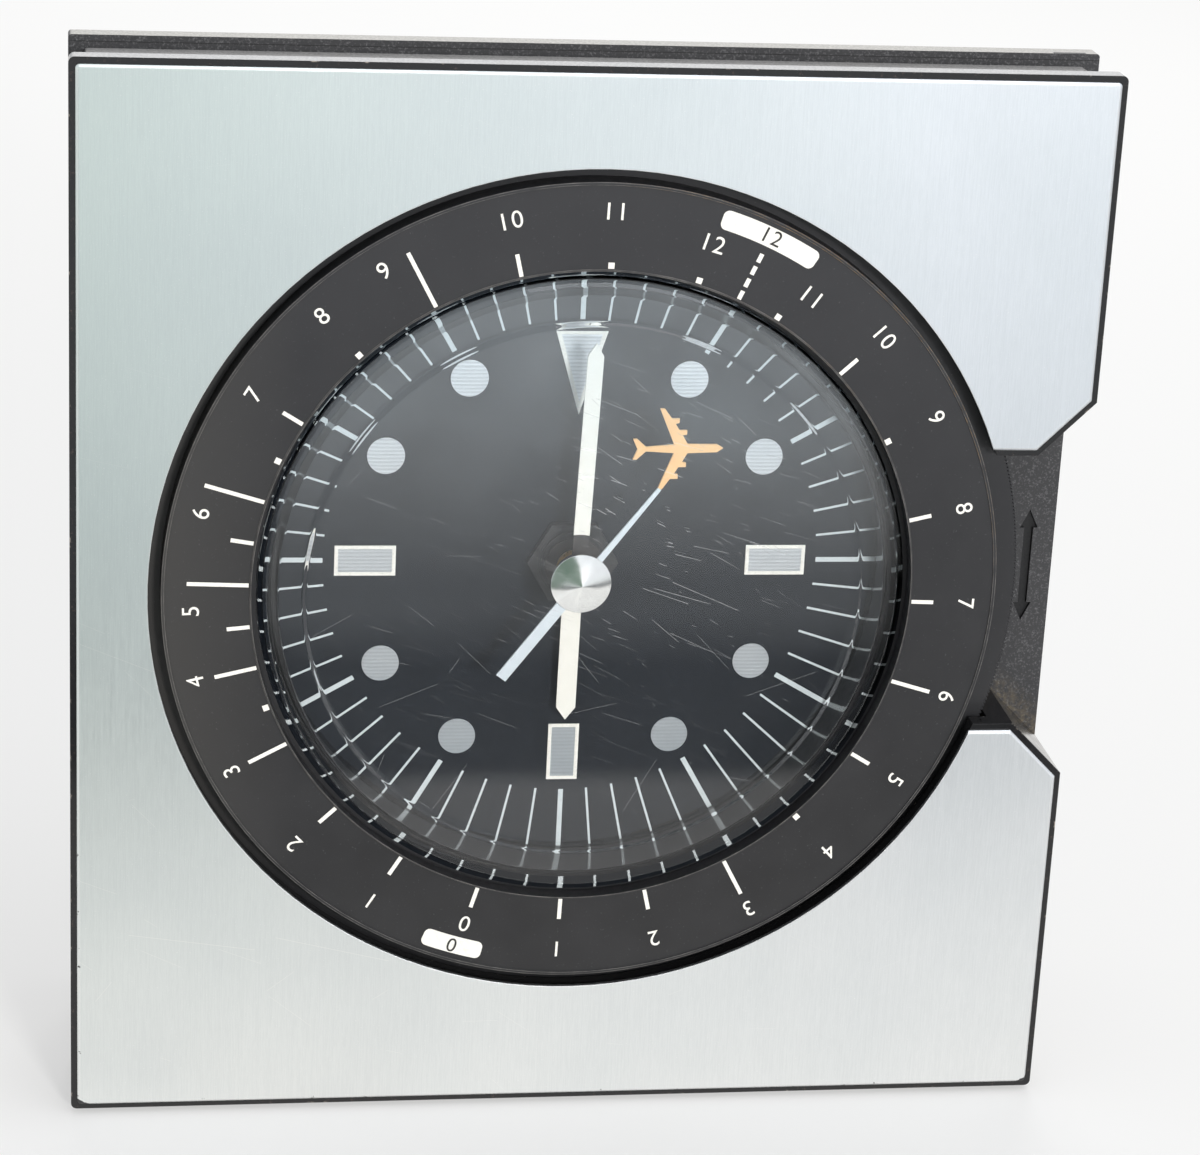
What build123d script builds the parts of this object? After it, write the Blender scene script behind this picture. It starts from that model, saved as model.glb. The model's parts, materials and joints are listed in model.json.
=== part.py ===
from build123d import *

import os
from math import cos, radians, sin, sqrt, tan

# World time desk clock: a square case with a raised metal fascia, a turning time zone ring
# round a deep dial, and a battery quartz movement in a tapered rear case.
# Millimetres, +Z up, the dial looks along -Y, the feet stand on Z = 0.
# A station is a distance behind the front of the fascia plate. Across and up are measured
# from the hand axis, as the viewer in front of the clock sees them.

os.makedirs("parts", exist_ok=True)

# Case, with its margins outside the time zone ring
side_margin = 8.9
top_margin = 12.3
bottom_margin = 17.1
corner_radius = 0.9
plate_corner_radius = 0.6
back_corner_radius = 0.5
shell_wall = 2.0
foot_height = 0.8
foot_radius = 4.5
foot_inset = 20.0
front_foot_depth = 6.0
rear_foot_setback = 8.0

# Fascia plate and front frame
plate_thick = 0.7
plate_edge = 0.35
rim_width = 0.95
rim_depth = 3.0
neck_inset = 1.9
neck_depth = 12.4
notch_half = 21.4
notch_shoulder = 8.2
cheek_wall = 2.0
cheek_gap = 0.8
frame_hole_gap = 0.3

# Rear case and back cover
lip_depth = 3.4
back_top_drop = 8.0
back_side_draw = 6.0
cover_thick = 2.0
knob_proud = 3.5
knob_gap = 0.4

# Crystal and its bezel
crystal_radius = 48.05
crystal_proud = 0.4
crystal_thick = 2.4
crystal_wall = 1.6
crystal_face_radius = 41.05
crystal_step = 0.5
crystal_bevel = 1.4
crystal_flange_width = 1.55
crystal_flange_thick = 1.5
bezel_wall = 2.75
bezel_fit_gap = 0.1
bezel_front_gap = 0.3
bezel_flange_width = 8.1
bezel_flange_thick = 1.2
bezel_screw_inset = 2.5

# Time zone ring
ring_bore_gap = 0.9
ring_print_width = 12.55
ring_lip_width = 0.5
ring_lip_rise = 0.25
ring_sink = 0.4
ring_thick = 2.5
ring_skirt_wall = 2.5
ring_flange_reach = 4.1
ring_flange_thick = 2.5
ring_flange_gap = 0.5
ring_hole_gap = 1.9
washer_thick = 0.3
washer_side_gap = 0.3

# Dial and hour marks
dial_thick = 0.6
dial_edge_gap = 0.1
dial_reach = 0.2
mark_thick = 0.15
mark_circle_radius = 32.95
round_mark_radius = 2.83
bar_mark_length = 9.2
bar_mark_width = 4.75
bar_mark_circle_radius = 31.25
triangle_half_width = 3.9
triangle_base_radius = 35.9
triangle_tip_radius = 23.0

# Hands, with their heights above the dial
hand_thick = 0.3
hour_hand_height = 2.6
minute_hand_height = 7.4
second_hand_height = 10.1
cap_edge_height = 10.7
cap_tip_height = 12.1
cap_radius = 4.55
hour_hand_length = 24.9
hour_hand_width = 2.95
hour_hand_hub_radius = 4.4
minute_hand_length = 36.2
minute_hand_width = 2.4
minute_hand_hub_radius = 3.6
hand_point_length = 2.0
collar_wall = 0.9
collar_length = 1.4
second_tail_length = 18.9
second_tail_width = 1.75
second_shaft_length = 18.4
second_shaft_base_width = 1.1
second_shaft_tip_width = 0.62
second_hub_radius = 3.0
airliner_length = 13.3
hour_hand_clock_angle = 180.6
minute_hand_clock_angle = 1.8
second_hand_clock_angle = 37.0
airliner_heading = 1.0

# Arbors and fits
running_gap = 0.05
seat_gap = 0.02
second_arbor_radius = 0.8
minute_tube_wall = 0.85
hour_tube_wall = 0.85
bush_wall = 2.35
bush_proud = 1.7
nut_thick = 1.5
nut_across_flats = 12.0
arbor_radius = 0.6
pivot_radius = 0.4
pivot_length = 0.7
arbor_end_gap = 0.1
tube_end_gap = 0.2

# Movement
movement_wall = 1.2
movement_plate_thick = 1.4
movement_inside_depth = 12.0
wheel_thick = 0.8
wheel_step = 1.3
first_wheel_gap = 0.4
wheel_hub_radius = 1.4
bridge_reach = 13.7
bridge_pillar_radius = 1.6
bridge_peg_radius = 1.0
motion_module = 0.5
minute_wheel_distance = 12.0
train_module = 0.35
second_wheel_module = 0.4
post_radius = 2.2
post_inset = 3.8
rotor_radius = 2.9
rotor_thick = 2.2
rotor_rise = 0.5
stator_gap = 0.4
stator_side_gap = 6.8
stator_band = 8.6
stator_leg = 6.0
stator_thick = 1.4
stator_rise = 0.3
coil_band_gap = 1.6
coil_wall_gap = 1.0
coil_radius = 2.9
coil_flange_radius = 3.3
coil_flange_thick = 0.8
coil_leg_gap = 0.6
core_height = 4.0
core_thick = 1.2
board_size = 16.0
board_thick = 1.0
board_wall_gap = 5.8
board_back_gap = 3.5
board_post_radius = 1.4
board_post_inset = 3.0
chip_size = 5.0
chip_thick = 1.2
can_radius = 1.5
can_length = 6.2
can_up = 4.6
can_side = 1.4

# Setting knob
stem_radius = 1.2
knob_radius = 8.0
knob_flute_radius = 0.7
flute_count = 24
knob_seat_depth = 2.2

# Battery, its tray, contacts and door
battery_radius = 13.1
battery_length = 50.0
battery_nub_length = 1.5
battery_nub_radius = 3.3
battery_down = 50.0
battery_wall_gap = 0.7
battery_back_gap = 1.0
battery_floor_gap = 0.1
tray_wall = 1.5
tray_end_drop = 4.0
tray_back_gap = 2.0
contact_thick = 0.4
contact_size = 12.0
contact_gap = 0.05
strap_width = 4.0
terminal_length = 4.5
spring_room = 4.0
spring_big_radius = 5.0
spring_small_radius = 3.2
spring_wire = 0.8
door_end_room = 0.05
door_side_room = 0.9
door_ledge = 2.0
door_thick = 1.0
door_plug_depth = 1.2
door_gap = 0.3
door_rib_width = 1.0
door_rib_length = 14.0
door_rib_rise = 0.5

# Screws
frame_screw_inset = 9.5
frame_screw_radius = 1.4
frame_screw_length = 9.0
cover_screw_inset = 8.5
cover_screw_drop = 10.4
cover_screw_rise = 23.2
cover_screw_length = 8.0
small_screw_radius = 1.0
bezel_screw_length = 5.0
movement_screw_length = 5.0
head_radius_share = 1.9
head_height_share = 0.95
slot_width_share = 0.36
slot_depth_share = 0.45
boss_wall = 2.1
small_boss_wall = 1.7
pilot_gap = 0.05
clear_gap = 0.2

# Arrow recessed in the wall of the finger notch
arrow_across = 70.9
arrow_drop = 1.3
arrow_half_length = 9.0
arrow_head_length = 2.9
arrow_head_half = 1.4
arrow_shaft_half = 0.7
arrow_depth = 0.5

# Tooth form, as shares of the module and of the angle from tooth to tooth
addendum_share = 0.85
dedendum_share = 1.35
tooth_tip_share = 0.12
wheel_root_share = 0.27
pinion_root_share = 0.20

# Tooth counts
cannon_teeth = 12
minute_wheel_teeth = 36
minute_pinion_teeth = 10
hour_wheel_teeth = 40
setting_teeth = 15
going_pinion_teeth = 8
centre_wheel_teeth = 60
third_wheel_teeth = 64
second_wheel_teeth = 40
idler_wheel_teeth = 48

# Directions between the arbors, in degrees anticlockwise from +X
minute_wheel_angle = 270.0
setting_angle = 330.0
third_wheel_angle = 150.0
idler_angle = 30.0
rotor_angle = 60.0

overrun = 1.0

# Stations behind the front of the fascia plate
rim_back = plate_thick + rim_depth
wall_front = rim_back + neck_depth
wall_back = wall_front + shell_wall
lip_back = wall_front + lip_depth
battery_station = wall_back + battery_wall_gap + battery_radius
cover_front = battery_station + battery_radius + battery_back_gap
cover_back = cover_front + cover_thick
knob_front = cover_back + knob_gap
knob_back = cover_back + knob_proud

# Radii round the hand axis
crystal_flange_radius = crystal_radius + crystal_flange_width
bezel_bore = crystal_radius + bezel_fit_gap
bezel_radius = bezel_bore + bezel_wall
bezel_flange_radius = bezel_radius + bezel_flange_width
ring_bore = crystal_radius + ring_bore_gap
ring_print_radius = ring_bore + ring_print_width
ring_radius = ring_print_radius + ring_lip_width
ring_flange_radius = ring_radius + ring_flange_reach
plate_hole_radius = ring_radius + ring_hole_gap
frame_hole_radius = plate_hole_radius + frame_hole_gap
dial_radius = crystal_flange_radius + dial_reach
minute_bore = second_arbor_radius + running_gap
minute_tube_radius = minute_bore + minute_tube_wall
hour_tube_bore = minute_tube_radius + running_gap
hour_tube_radius = hour_tube_bore + hour_tube_wall
bush_bore = hour_tube_radius + running_gap
bush_radius = bush_bore + bush_wall

# Outline of the case and where it stands in its frame
case_right = ring_flange_radius + side_margin
case_top = ring_flange_radius + top_margin
case_bottom = -ring_flange_radius - bottom_margin
case_width = 2 * case_right
case_height = case_top - case_bottom
outline_rise = (case_top + case_bottom) / 2
overall_depth = crystal_proud + knob_back
front_y = crystal_proud - overall_depth / 2
axis_height = foot_height - case_bottom
hand_axis = Axis((0, 0, axis_height), (0, 1, 0))
section = Plane(origin=(0, front_y, axis_height), x_dir=(1, 0, 0), z_dir=(0, 0, 1))


def facing(station, across=0, up=0):
    """Plane parallel to the dial at a station, seen from the front."""
    origin = (across, front_y + station, axis_height + up)
    return Plane(origin=origin, x_dir=(1, 0, 0), z_dir=(0, -1, 0))


def polar(radius, angle):
    """Point at a radius and an angle in degrees, anticlockwise from +X."""
    return (radius * cos(radians(angle)), radius * sin(radians(angle)))


def clock_polar(radius, clock_angle):
    """Point at a radius and an angle in degrees, clockwise from twelve."""
    return polar(radius, 90 - clock_angle)


def turned(profile):
    """Revolve a closed outline of (radius, station) points round the hand axis."""
    with BuildSketch(section) as outline:
        Polygon(*profile, align=None)
    revolve(outline.sketch, axis=hand_axis)


def disc(radius, front, back, across=0, up=0, mode=Mode.ADD):
    """Round bar, or with Mode.SUBTRACT a round hole, between two stations."""
    with BuildSketch(facing(front, across, up)) as face:
        Circle(radius)
    extrude(face.sketch, amount=front - back, mode=mode)


def discs(places, radius, front, back, mode=Mode.ADD):
    """Equal round bars or holes at several places."""
    for across, up in places:
        disc(radius, front, back, across, up, mode)


def outline_face(inset=0, corner=corner_radius):
    """Rounded rectangle of the case front, drawn in by an inset."""
    with Locations((0, outline_rise)):
        RectangleRounded(case_width - 2 * inset, case_height - 2 * inset, corner)


def notch_face(grow=0, mode=Mode.SUBTRACT):
    """Finger notch on the right, level edges running into 45 degree shoulders."""
    half = notch_half + grow
    shoulder_start = case_right - notch_shoulder - grow * tan(radians(22.5))
    reach = case_right + overrun
    spread = half + reach - shoulder_start
    outline = [
        (0, -half),
        (shoulder_start, -half),
        (reach, -spread),
        (reach, spread),
        (shoulder_start, half),
        (0, half),
    ]
    Polygon(*outline, align=None, mode=mode)


def corner_places(half_width, top, bottom):
    """Four places at the corners of a rectangle that is even about the hand axis."""
    return [(-half_width, top), (half_width, top), (half_width, bottom), (-half_width, bottom)]


frame_screw_places = corner_places(
    case_right - frame_screw_inset,
    case_top - frame_screw_inset,
    case_bottom + frame_screw_inset,
)
cover_screw_places = corner_places(
    case_right - back_side_draw - cover_screw_inset,
    case_top - back_top_drop - cover_screw_drop,
    case_bottom + cover_screw_rise,
)
bezel_screw_circle = bezel_flange_radius - bezel_screw_inset
bezel_screw_places = [polar(bezel_screw_circle, 45 + 90 * corner) for corner in range(4)]


# Fascia plate: brushed metal with the round opening and the notch, its outer edges broken
with BuildPart() as fascia_plate:
    with BuildSketch(facing(plate_thick)):
        outline_face(rim_width, plate_corner_radius)
        notch_face(rim_width)
        Circle(plate_hole_radius, mode=Mode.SUBTRACT)
    extrude(amount=plate_thick)
    front_edges = fascia_plate.faces().sort_by(Axis.Y)[0].edges()
    opening_edge = front_edges.filter_by(GeomType.CIRCLE).sort_by(SortBy.RADIUS)[-1]
    outer_edges = [edge for edge in front_edges if not edge.is_same(opening_edge)]
    chamfer(outer_edges, length=plate_edge)
fascia_plate.part.label = "fascia_plate"
export_step(fascia_plate.part, "parts/fascia_plate.step")


# Front frame: rim behind the plate, inset neck, full depth notch cheeks, screw bosses
frame_boss_radius = frame_screw_radius + boss_wall
with BuildPart() as front_frame:
    with BuildSketch(facing(plate_thick)):
        outline_face()
        notch_face()
        Circle(frame_hole_radius, mode=Mode.SUBTRACT)
    extrude(amount=-rim_depth)
    with BuildSketch(facing(rim_back)):
        outline_face(neck_inset)
        with Locations((0, outline_rise)):
            inside = neck_inset + shell_wall
            Rectangle(case_width - 2 * inside, case_height - 2 * inside, mode=Mode.SUBTRACT)
        notch_face()
    extrude(amount=-neck_depth)
    with BuildSketch(facing(rim_back)):
        outline_face()
        notch_face(cheek_wall, mode=Mode.INTERSECT)
        notch_face()
        Circle(ring_flange_radius + cheek_gap, mode=Mode.SUBTRACT)
    extrude(amount=-neck_depth)
    discs(frame_screw_places, frame_boss_radius, rim_back, wall_front)
    pilot_end = wall_front - frame_screw_length
    pilot_radius = frame_screw_radius + pilot_gap
    discs(frame_screw_places, pilot_radius, wall_front, pilot_end, mode=Mode.SUBTRACT)
front_frame.part.label = "front_frame"
export_step(front_frame.part, "parts/front_frame.step")


# Time zone ring: printed face between two lips, skirt that runs on the bezel, and the
# flange behind the frame that a finger turns in the notch
ring_front = ring_sink
lip_front = ring_sink - ring_lip_rise
ring_back = ring_front + ring_thick
skirt_bore = bezel_radius + running_gap
washer_front = wall_front - bezel_flange_thick - washer_thick
skirt_back = washer_front - running_gap
flange_front = rim_back + ring_flange_gap
with BuildPart() as zone_ring:
    turned(
        [
            (ring_bore, lip_front),
            (ring_bore + ring_lip_width / 2, lip_front),
            (ring_bore + ring_lip_width / 2, ring_front),
            (ring_print_radius, ring_front),
            (ring_print_radius, lip_front),
            (ring_radius, lip_front),
            (ring_radius, flange_front),
            (ring_flange_radius, flange_front),
            (ring_flange_radius, flange_front + ring_flange_thick),
            (ring_radius - ring_skirt_wall, flange_front + ring_flange_thick),
            (ring_radius - ring_skirt_wall, ring_back),
            (skirt_bore + ring_skirt_wall, ring_back),
            (skirt_bore + ring_skirt_wall, skirt_back),
            (skirt_bore, skirt_back),
            (skirt_bore, ring_back),
            (ring_bore, ring_back),
        ]
    )
zone_ring.part.label = "zone_ring"
export_step(zone_ring.part, "parts/zone_ring.step")


# Felt washer that drags on the ring so that it stays where it is set
with BuildPart() as friction_washer:
    turned(
        [
            (skirt_bore + washer_side_gap, washer_front),
            (skirt_bore + ring_skirt_wall - washer_side_gap, washer_front),
            (skirt_bore + ring_skirt_wall - washer_side_gap, washer_front + washer_thick),
            (skirt_bore + washer_side_gap, washer_front + washer_thick),
        ]
    )
friction_washer.part.label = "friction_washer"
export_step(friction_washer.part, "parts/friction_washer.step")


# Bezel sleeve: holds the crystal to the wall and carries the zone ring
crystal_flange_front = wall_front - crystal_flange_thick
bezel_flange_front = wall_front - bezel_flange_thick
with BuildPart() as crystal_bezel:
    turned(
        [
            (bezel_bore, ring_back + bezel_front_gap),
            (bezel_radius, ring_back + bezel_front_gap),
            (bezel_radius, bezel_flange_front),
            (bezel_flange_radius, bezel_flange_front),
            (bezel_flange_radius, wall_front),
            (crystal_flange_radius + bezel_fit_gap, wall_front),
            (crystal_flange_radius + bezel_fit_gap, crystal_flange_front),
            (bezel_bore, crystal_flange_front),
        ]
    )
    with BuildSketch(facing(bezel_flange_front)):
        with Locations(*bezel_screw_places):
            Circle(small_screw_radius + clear_gap)
    extrude(amount=-bezel_flange_thick, mode=Mode.SUBTRACT)
crystal_bezel.part.label = "crystal_bezel"
export_step(crystal_bezel.part, "parts/crystal_bezel.step")


# Crystal: clear moulded pan, stepped face, deep side wall and clamped flange
face_front = -crystal_proud
shoulder_front = face_front + crystal_step
face_back = face_front + crystal_thick
crystal_inside = crystal_radius - crystal_wall
with BuildPart() as crystal:
    turned(
        [
            (0, face_front),
            (crystal_face_radius, face_front),
            (crystal_face_radius + crystal_step, shoulder_front),
            (crystal_radius - crystal_bevel, shoulder_front),
            (crystal_radius, shoulder_front + crystal_bevel),
            (crystal_radius, crystal_flange_front),
            (crystal_flange_radius, crystal_flange_front),
            (crystal_flange_radius, wall_front),
            (crystal_inside, wall_front),
            (crystal_inside, face_back + crystal_bevel),
            (crystal_inside - crystal_bevel, face_back),
            (0, face_back),
        ]
    )
crystal.part.label = "crystal"
export_step(crystal.part, "parts/crystal.step")


# Dial: thin disc let into the wall behind the crystal
with BuildPart() as dial:
    disc(dial_radius, wall_front, wall_front + dial_thick)
    disc(bush_radius + running_gap, wall_front, wall_front + dial_thick, mode=Mode.SUBTRACT)
dial.part.label = "dial"
export_step(dial.part, "parts/dial.step")


# Hour marks: discs, three bars and the triangle at twelve
round_hours = [hour for hour in range(1, 12) if hour % 3]
with BuildPart() as hour_marks:
    with BuildSketch(facing(wall_front)):
        with Locations(*[clock_polar(mark_circle_radius, 30 * hour) for hour in round_hours]):
            Circle(round_mark_radius)
        with PolarLocations(bar_mark_circle_radius, 3, start_angle=180, angular_range=270):
            Rectangle(bar_mark_length, bar_mark_width)
        Polygon(
            (-triangle_half_width, triangle_base_radius),
            (triangle_half_width, triangle_base_radius),
            (0, triangle_tip_radius),
            align=None,
        )
    extrude(amount=mark_thick)
hour_marks.part.label = "hour_marks"
export_step(hour_marks.part, "parts/hour_marks.step")


def turned_outline(points, clock_angle, mode=Mode.ADD):
    """Closed outline on the current sketch, turned clockwise from its upright drawing."""
    angle = radians(clock_angle)
    turned_points = []
    for across, up in points:
        turned_across = across * cos(angle) + up * sin(angle)
        turned_up = up * cos(angle) - across * sin(angle)
        turned_points.append((turned_across, turned_up))
    Polygon(*turned_points, align=None, mode=mode)


def baton_points(length, width):
    """Outline of a straight hand with a point, drawn upright."""
    half = width / 2
    shoulder = length - hand_point_length
    return [(-half, 0), (half, 0), (half, shoulder), (0, length), (-half, shoulder)]


# Hour hand with the collar that grips the hour tube
hour_hand_front = wall_front - hour_hand_height - hand_thick / 2
hour_tube_front = hour_hand_front - hand_thick
with BuildPart() as hour_hand:
    with BuildSketch(facing(hour_hand_front)):
        Circle(hour_hand_hub_radius)
        turned_outline(baton_points(hour_hand_length, hour_hand_width), hour_hand_clock_angle)
    extrude(amount=-hand_thick)
    disc(hour_tube_radius + seat_gap, hour_hand_front, wall_front, mode=Mode.SUBTRACT)
hour_hand.part.label = "hour_hand"
export_step(hour_hand.part, "parts/hour_hand.step")


# Minute hand with its collar
minute_hand_front = wall_front - minute_hand_height - hand_thick / 2
minute_tube_front = minute_hand_front - hand_thick
with BuildPart() as minute_hand:
    with BuildSketch(facing(minute_hand_front)):
        Circle(minute_hand_hub_radius)
        turned_outline(baton_points(minute_hand_length, minute_hand_width), minute_hand_clock_angle)
    extrude(amount=-hand_thick)
    collar_back = minute_hand_front + hand_thick + collar_length
    disc(minute_tube_radius + collar_wall, minute_hand_front, collar_back)
    disc(minute_tube_radius + seat_gap, minute_hand_front, collar_back, mode=Mode.SUBTRACT)
minute_hand.part.label = "minute_hand"
export_step(minute_hand.part, "parts/minute_hand.step")


# Second hand: broad tail, hub and a slender shaft that ends at the airliner's wing tip
second_hand_front = wall_front - second_hand_height - hand_thick / 2
second_outline = [
    (-second_tail_width / 2, -second_tail_length),
    (second_tail_width / 2, -second_tail_length),
    (second_tail_width / 2, 0),
    (second_shaft_base_width / 2, 0),
    (second_shaft_tip_width / 2, second_shaft_length),
    (-second_shaft_tip_width / 2, second_shaft_length),
    (-second_shaft_base_width / 2, 0),
    (-second_tail_width / 2, 0),
]
with BuildPart() as second_hand:
    with BuildSketch(facing(second_hand_front)):
        Circle(second_hub_radius)
        turned_outline(second_outline, second_hand_clock_angle)
    extrude(amount=-hand_thick)
    second_collar_back = second_hand_front + hand_thick + collar_length
    disc(second_arbor_radius + collar_wall, second_hand_front, second_collar_back)
    disc(second_arbor_radius + seat_gap, second_hand_front, second_collar_back, mode=Mode.SUBTRACT)
second_hand.part.label = "second_hand"
export_step(second_hand.part, "parts/second_hand.step")


# Airliner silhouette on the second hand, half outline as shares of its length: nose,
# wing with two engines, tail plane
airliner_half_share = [
    (0.50, 0.0),
    (0.43, 0.046),
    (0.10, 0.053),
    (0.042, 0.155),
    (0.088, 0.162),
    (0.088, 0.214),
    (0.004, 0.214),
    (-0.044, 0.288),
    (0.0, 0.298),
    (0.0, 0.350),
    (-0.086, 0.350),
    (-0.170, 0.466),
    (-0.222, 0.466),
    (-0.052, 0.050),
    (-0.365, 0.026),
    (-0.470, 0.122),
    (-0.512, 0.118),
    (-0.460, 0.0),
]
airliner_points = [(along, side) for along, side in airliner_half_share]
for along, side in reversed(airliner_half_share[1:-1]):
    airliner_points.append((along, -side))
wing_tip_along_share = -0.196
wing_tip_side_share = -0.466
heading = radians(airliner_heading)
tip_across, tip_up = clock_polar(second_shaft_length, second_hand_clock_angle)


def airliner_point(along_share, side_share):
    """Place on the dial of a point of the airliner, its lower wing tip on the shaft's end."""
    along = (along_share - wing_tip_along_share) * airliner_length
    side = (side_share - wing_tip_side_share) * airliner_length
    across = tip_across + along * cos(heading) - side * sin(heading)
    up = tip_up + along * sin(heading) + side * cos(heading)
    return (across, up)


with BuildPart() as second_hand_airliner:
    with BuildSketch(facing(second_hand_front)):
        Polygon(*[airliner_point(*point) for point in airliner_points], align=None)
        turned_outline(second_outline, second_hand_clock_angle, mode=Mode.SUBTRACT)
    extrude(amount=-hand_thick)
second_hand_airliner.part.label = "second_hand_airliner"
export_step(second_hand_airliner.part, "parts/second_hand_airliner.step")


# Polished cone that caps the second hand
cap_edge = wall_front - cap_edge_height
cap_tip = wall_front - cap_tip_height
second_arbor_front = second_hand_front - hand_thick
with BuildPart() as hand_cap:
    turned(
        [
            (second_arbor_radius + seat_gap, second_hand_front),
            (cap_radius, second_hand_front),
            (cap_radius, cap_edge),
            (0, cap_tip),
            (0, second_arbor_front - seat_gap),
            (second_arbor_radius + seat_gap, second_arbor_front - seat_gap),
        ]
    )
hand_cap.part.label = "hand_cap"
export_step(hand_cap.part, "parts/hand_cap.step")


# Nut that clamps the dial and the wall to the movement's bush
nut_circle_radius = nut_across_flats / sqrt(3)
with BuildPart() as mounting_nut:
    with BuildSketch(facing(wall_front)):
        RegularPolygon(nut_circle_radius, 6)
        Circle(bush_radius + pilot_gap, mode=Mode.SUBTRACT)
    extrude(amount=nut_thick)
mounting_nut.part.label = "mounting_nut"
export_step(mounting_nut.part, "parts/mounting_nut.step")


# Stations and places inside the movement
movement_front = wall_back
movement_inside_front = movement_front + movement_plate_thick
movement_inside_back = movement_inside_front + movement_inside_depth
movement_back = movement_inside_back + movement_wall


def level(step):
    """Front station of a layer of wheels, counted from the dial side."""
    return movement_inside_front + first_wheel_gap + step * wheel_step


def from_point(start, distance, angle):
    """Place at a distance and an angle from another place."""
    across, up = polar(distance, angle)
    return (start[0] + across, start[1] + up)


train_distance = train_module * (going_pinion_teeth + centre_wheel_teeth) / 2
third_wheel_module = 2 * train_distance / (going_pinion_teeth + third_wheel_teeth)
idler_distance = second_wheel_module * (going_pinion_teeth + second_wheel_teeth) / 2
rotor_distance = train_module * (going_pinion_teeth + idler_wheel_teeth) / 2
setting_distance = motion_module * (setting_teeth + minute_wheel_teeth) / 2
hour_wheel_module = 2 * minute_wheel_distance / (minute_pinion_teeth + hour_wheel_teeth)
cannon_module = 2 * minute_wheel_distance / (cannon_teeth + minute_wheel_teeth)
centre_place = (0, 0)
minute_wheel_place = from_point(centre_place, minute_wheel_distance, minute_wheel_angle)
setting_place = from_point(minute_wheel_place, setting_distance, setting_angle)
third_wheel_place = from_point(centre_place, train_distance, third_wheel_angle)
idler_place = from_point(centre_place, idler_distance, idler_angle)
rotor_place = from_point(idler_place, rotor_distance, rotor_angle)
arbor_back = movement_inside_back + pivot_length

# Width of the movement, set by the motor that fills its upper half
stator_up = rotor_place[1]
coil_up = stator_up + stator_band / 2 + coil_band_gap + coil_flange_radius
movement_inside_half = coil_up + coil_flange_radius + coil_wall_gap
movement_width = 2 * (movement_inside_half + movement_wall)
movement_bottom = -movement_width / 2
stator_width = 2 * (movement_inside_half - stator_side_gap)
board_across = -movement_inside_half + board_wall_gap + board_size / 2
board_up = board_across


def gear(step, place, teeth, module, root_share, facing_angle, tooth_faces, bore=0):
    """Spur gear on a layer, with a tooth or a gap centred on the facing angle."""
    pitch = 360 / teeth
    tip_radius = module * (teeth / 2 + addendum_share)
    root_radius = module * (teeth / 2 - dedendum_share)
    start = facing_angle if tooth_faces else facing_angle + pitch / 2
    corners = [
        (root_radius, -root_share),
        (tip_radius, -tooth_tip_share),
        (tip_radius, tooth_tip_share),
        (root_radius, root_share),
    ]
    outline = []
    for tooth in range(teeth):
        centre = start + tooth * pitch
        outline.extend(polar(radius, centre + share * pitch) for radius, share in corners)
    with BuildSketch(facing(level(step), *place)) as face:
        Polygon(*outline, align=None)
        if bore:
            Circle(bore, mode=Mode.SUBTRACT)
    extrude(face.sketch, amount=-wheel_thick)


def arbor(place, plate_back=movement_inside_front):
    """Arbor between two plates with a thinner pivot in each of them."""
    shoulder_front = plate_back + arbor_end_gap
    shoulder_back = movement_inside_back - arbor_end_gap
    disc(arbor_radius, shoulder_front, shoulder_back, *place)
    disc(pivot_radius, plate_back - pivot_length, shoulder_front, *place)
    disc(pivot_radius, shoulder_back, arbor_back, *place)


# Hour wheel with the tube that carries the hour hand
with BuildPart() as hour_wheel:
    gear(
        0,
        centre_place,
        hour_wheel_teeth,
        hour_wheel_module,
        wheel_root_share,
        minute_wheel_angle,
        tooth_faces=False,
    )
    disc(hour_tube_radius, hour_tube_front, level(0))
    disc(hour_tube_bore, hour_tube_front, level(1), mode=Mode.SUBTRACT)
hour_wheel.part.label = "hour_wheel"
export_step(hour_wheel.part, "parts/hour_wheel.step")


# Minute tube with the cannon pinion, running through the centre wheel
minute_tube_back = level(3) - tube_end_gap
with BuildPart() as minute_arbor:
    gear(
        1,
        centre_place,
        cannon_teeth,
        cannon_module,
        pinion_root_share,
        minute_wheel_angle,
        tooth_faces=True,
    )
    disc(minute_tube_radius, minute_tube_front, minute_tube_back)
    disc(minute_bore, minute_tube_front, minute_tube_back, mode=Mode.SUBTRACT)
minute_arbor.part.label = "minute_arbor"
export_step(minute_arbor.part, "parts/minute_arbor.step")


# Centre wheel, which slips on the minute tube while the hands are set
with BuildPart() as centre_wheel:
    gear(
        2,
        centre_place,
        centre_wheel_teeth,
        train_module,
        wheel_root_share,
        third_wheel_angle,
        tooth_faces=False,
        bore=minute_tube_radius + running_gap,
    )
centre_wheel.part.label = "centre_wheel"
export_step(centre_wheel.part, "parts/centre_wheel.step")


# Minute wheel and its pinion, which turn the hour wheel
with BuildPart() as minute_wheel:
    gear(
        0,
        minute_wheel_place,
        minute_pinion_teeth,
        hour_wheel_module,
        pinion_root_share,
        minute_wheel_angle - 180,
        tooth_faces=True,
    )
    gear(
        1,
        minute_wheel_place,
        minute_wheel_teeth,
        cannon_module,
        wheel_root_share,
        minute_wheel_angle - 180,
        tooth_faces=False,
    )
    disc(wheel_hub_radius, level(0) + wheel_thick, level(1), *minute_wheel_place)
    arbor(minute_wheel_place)
minute_wheel.part.label = "minute_wheel"
export_step(minute_wheel.part, "parts/minute_wheel.step")


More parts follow.
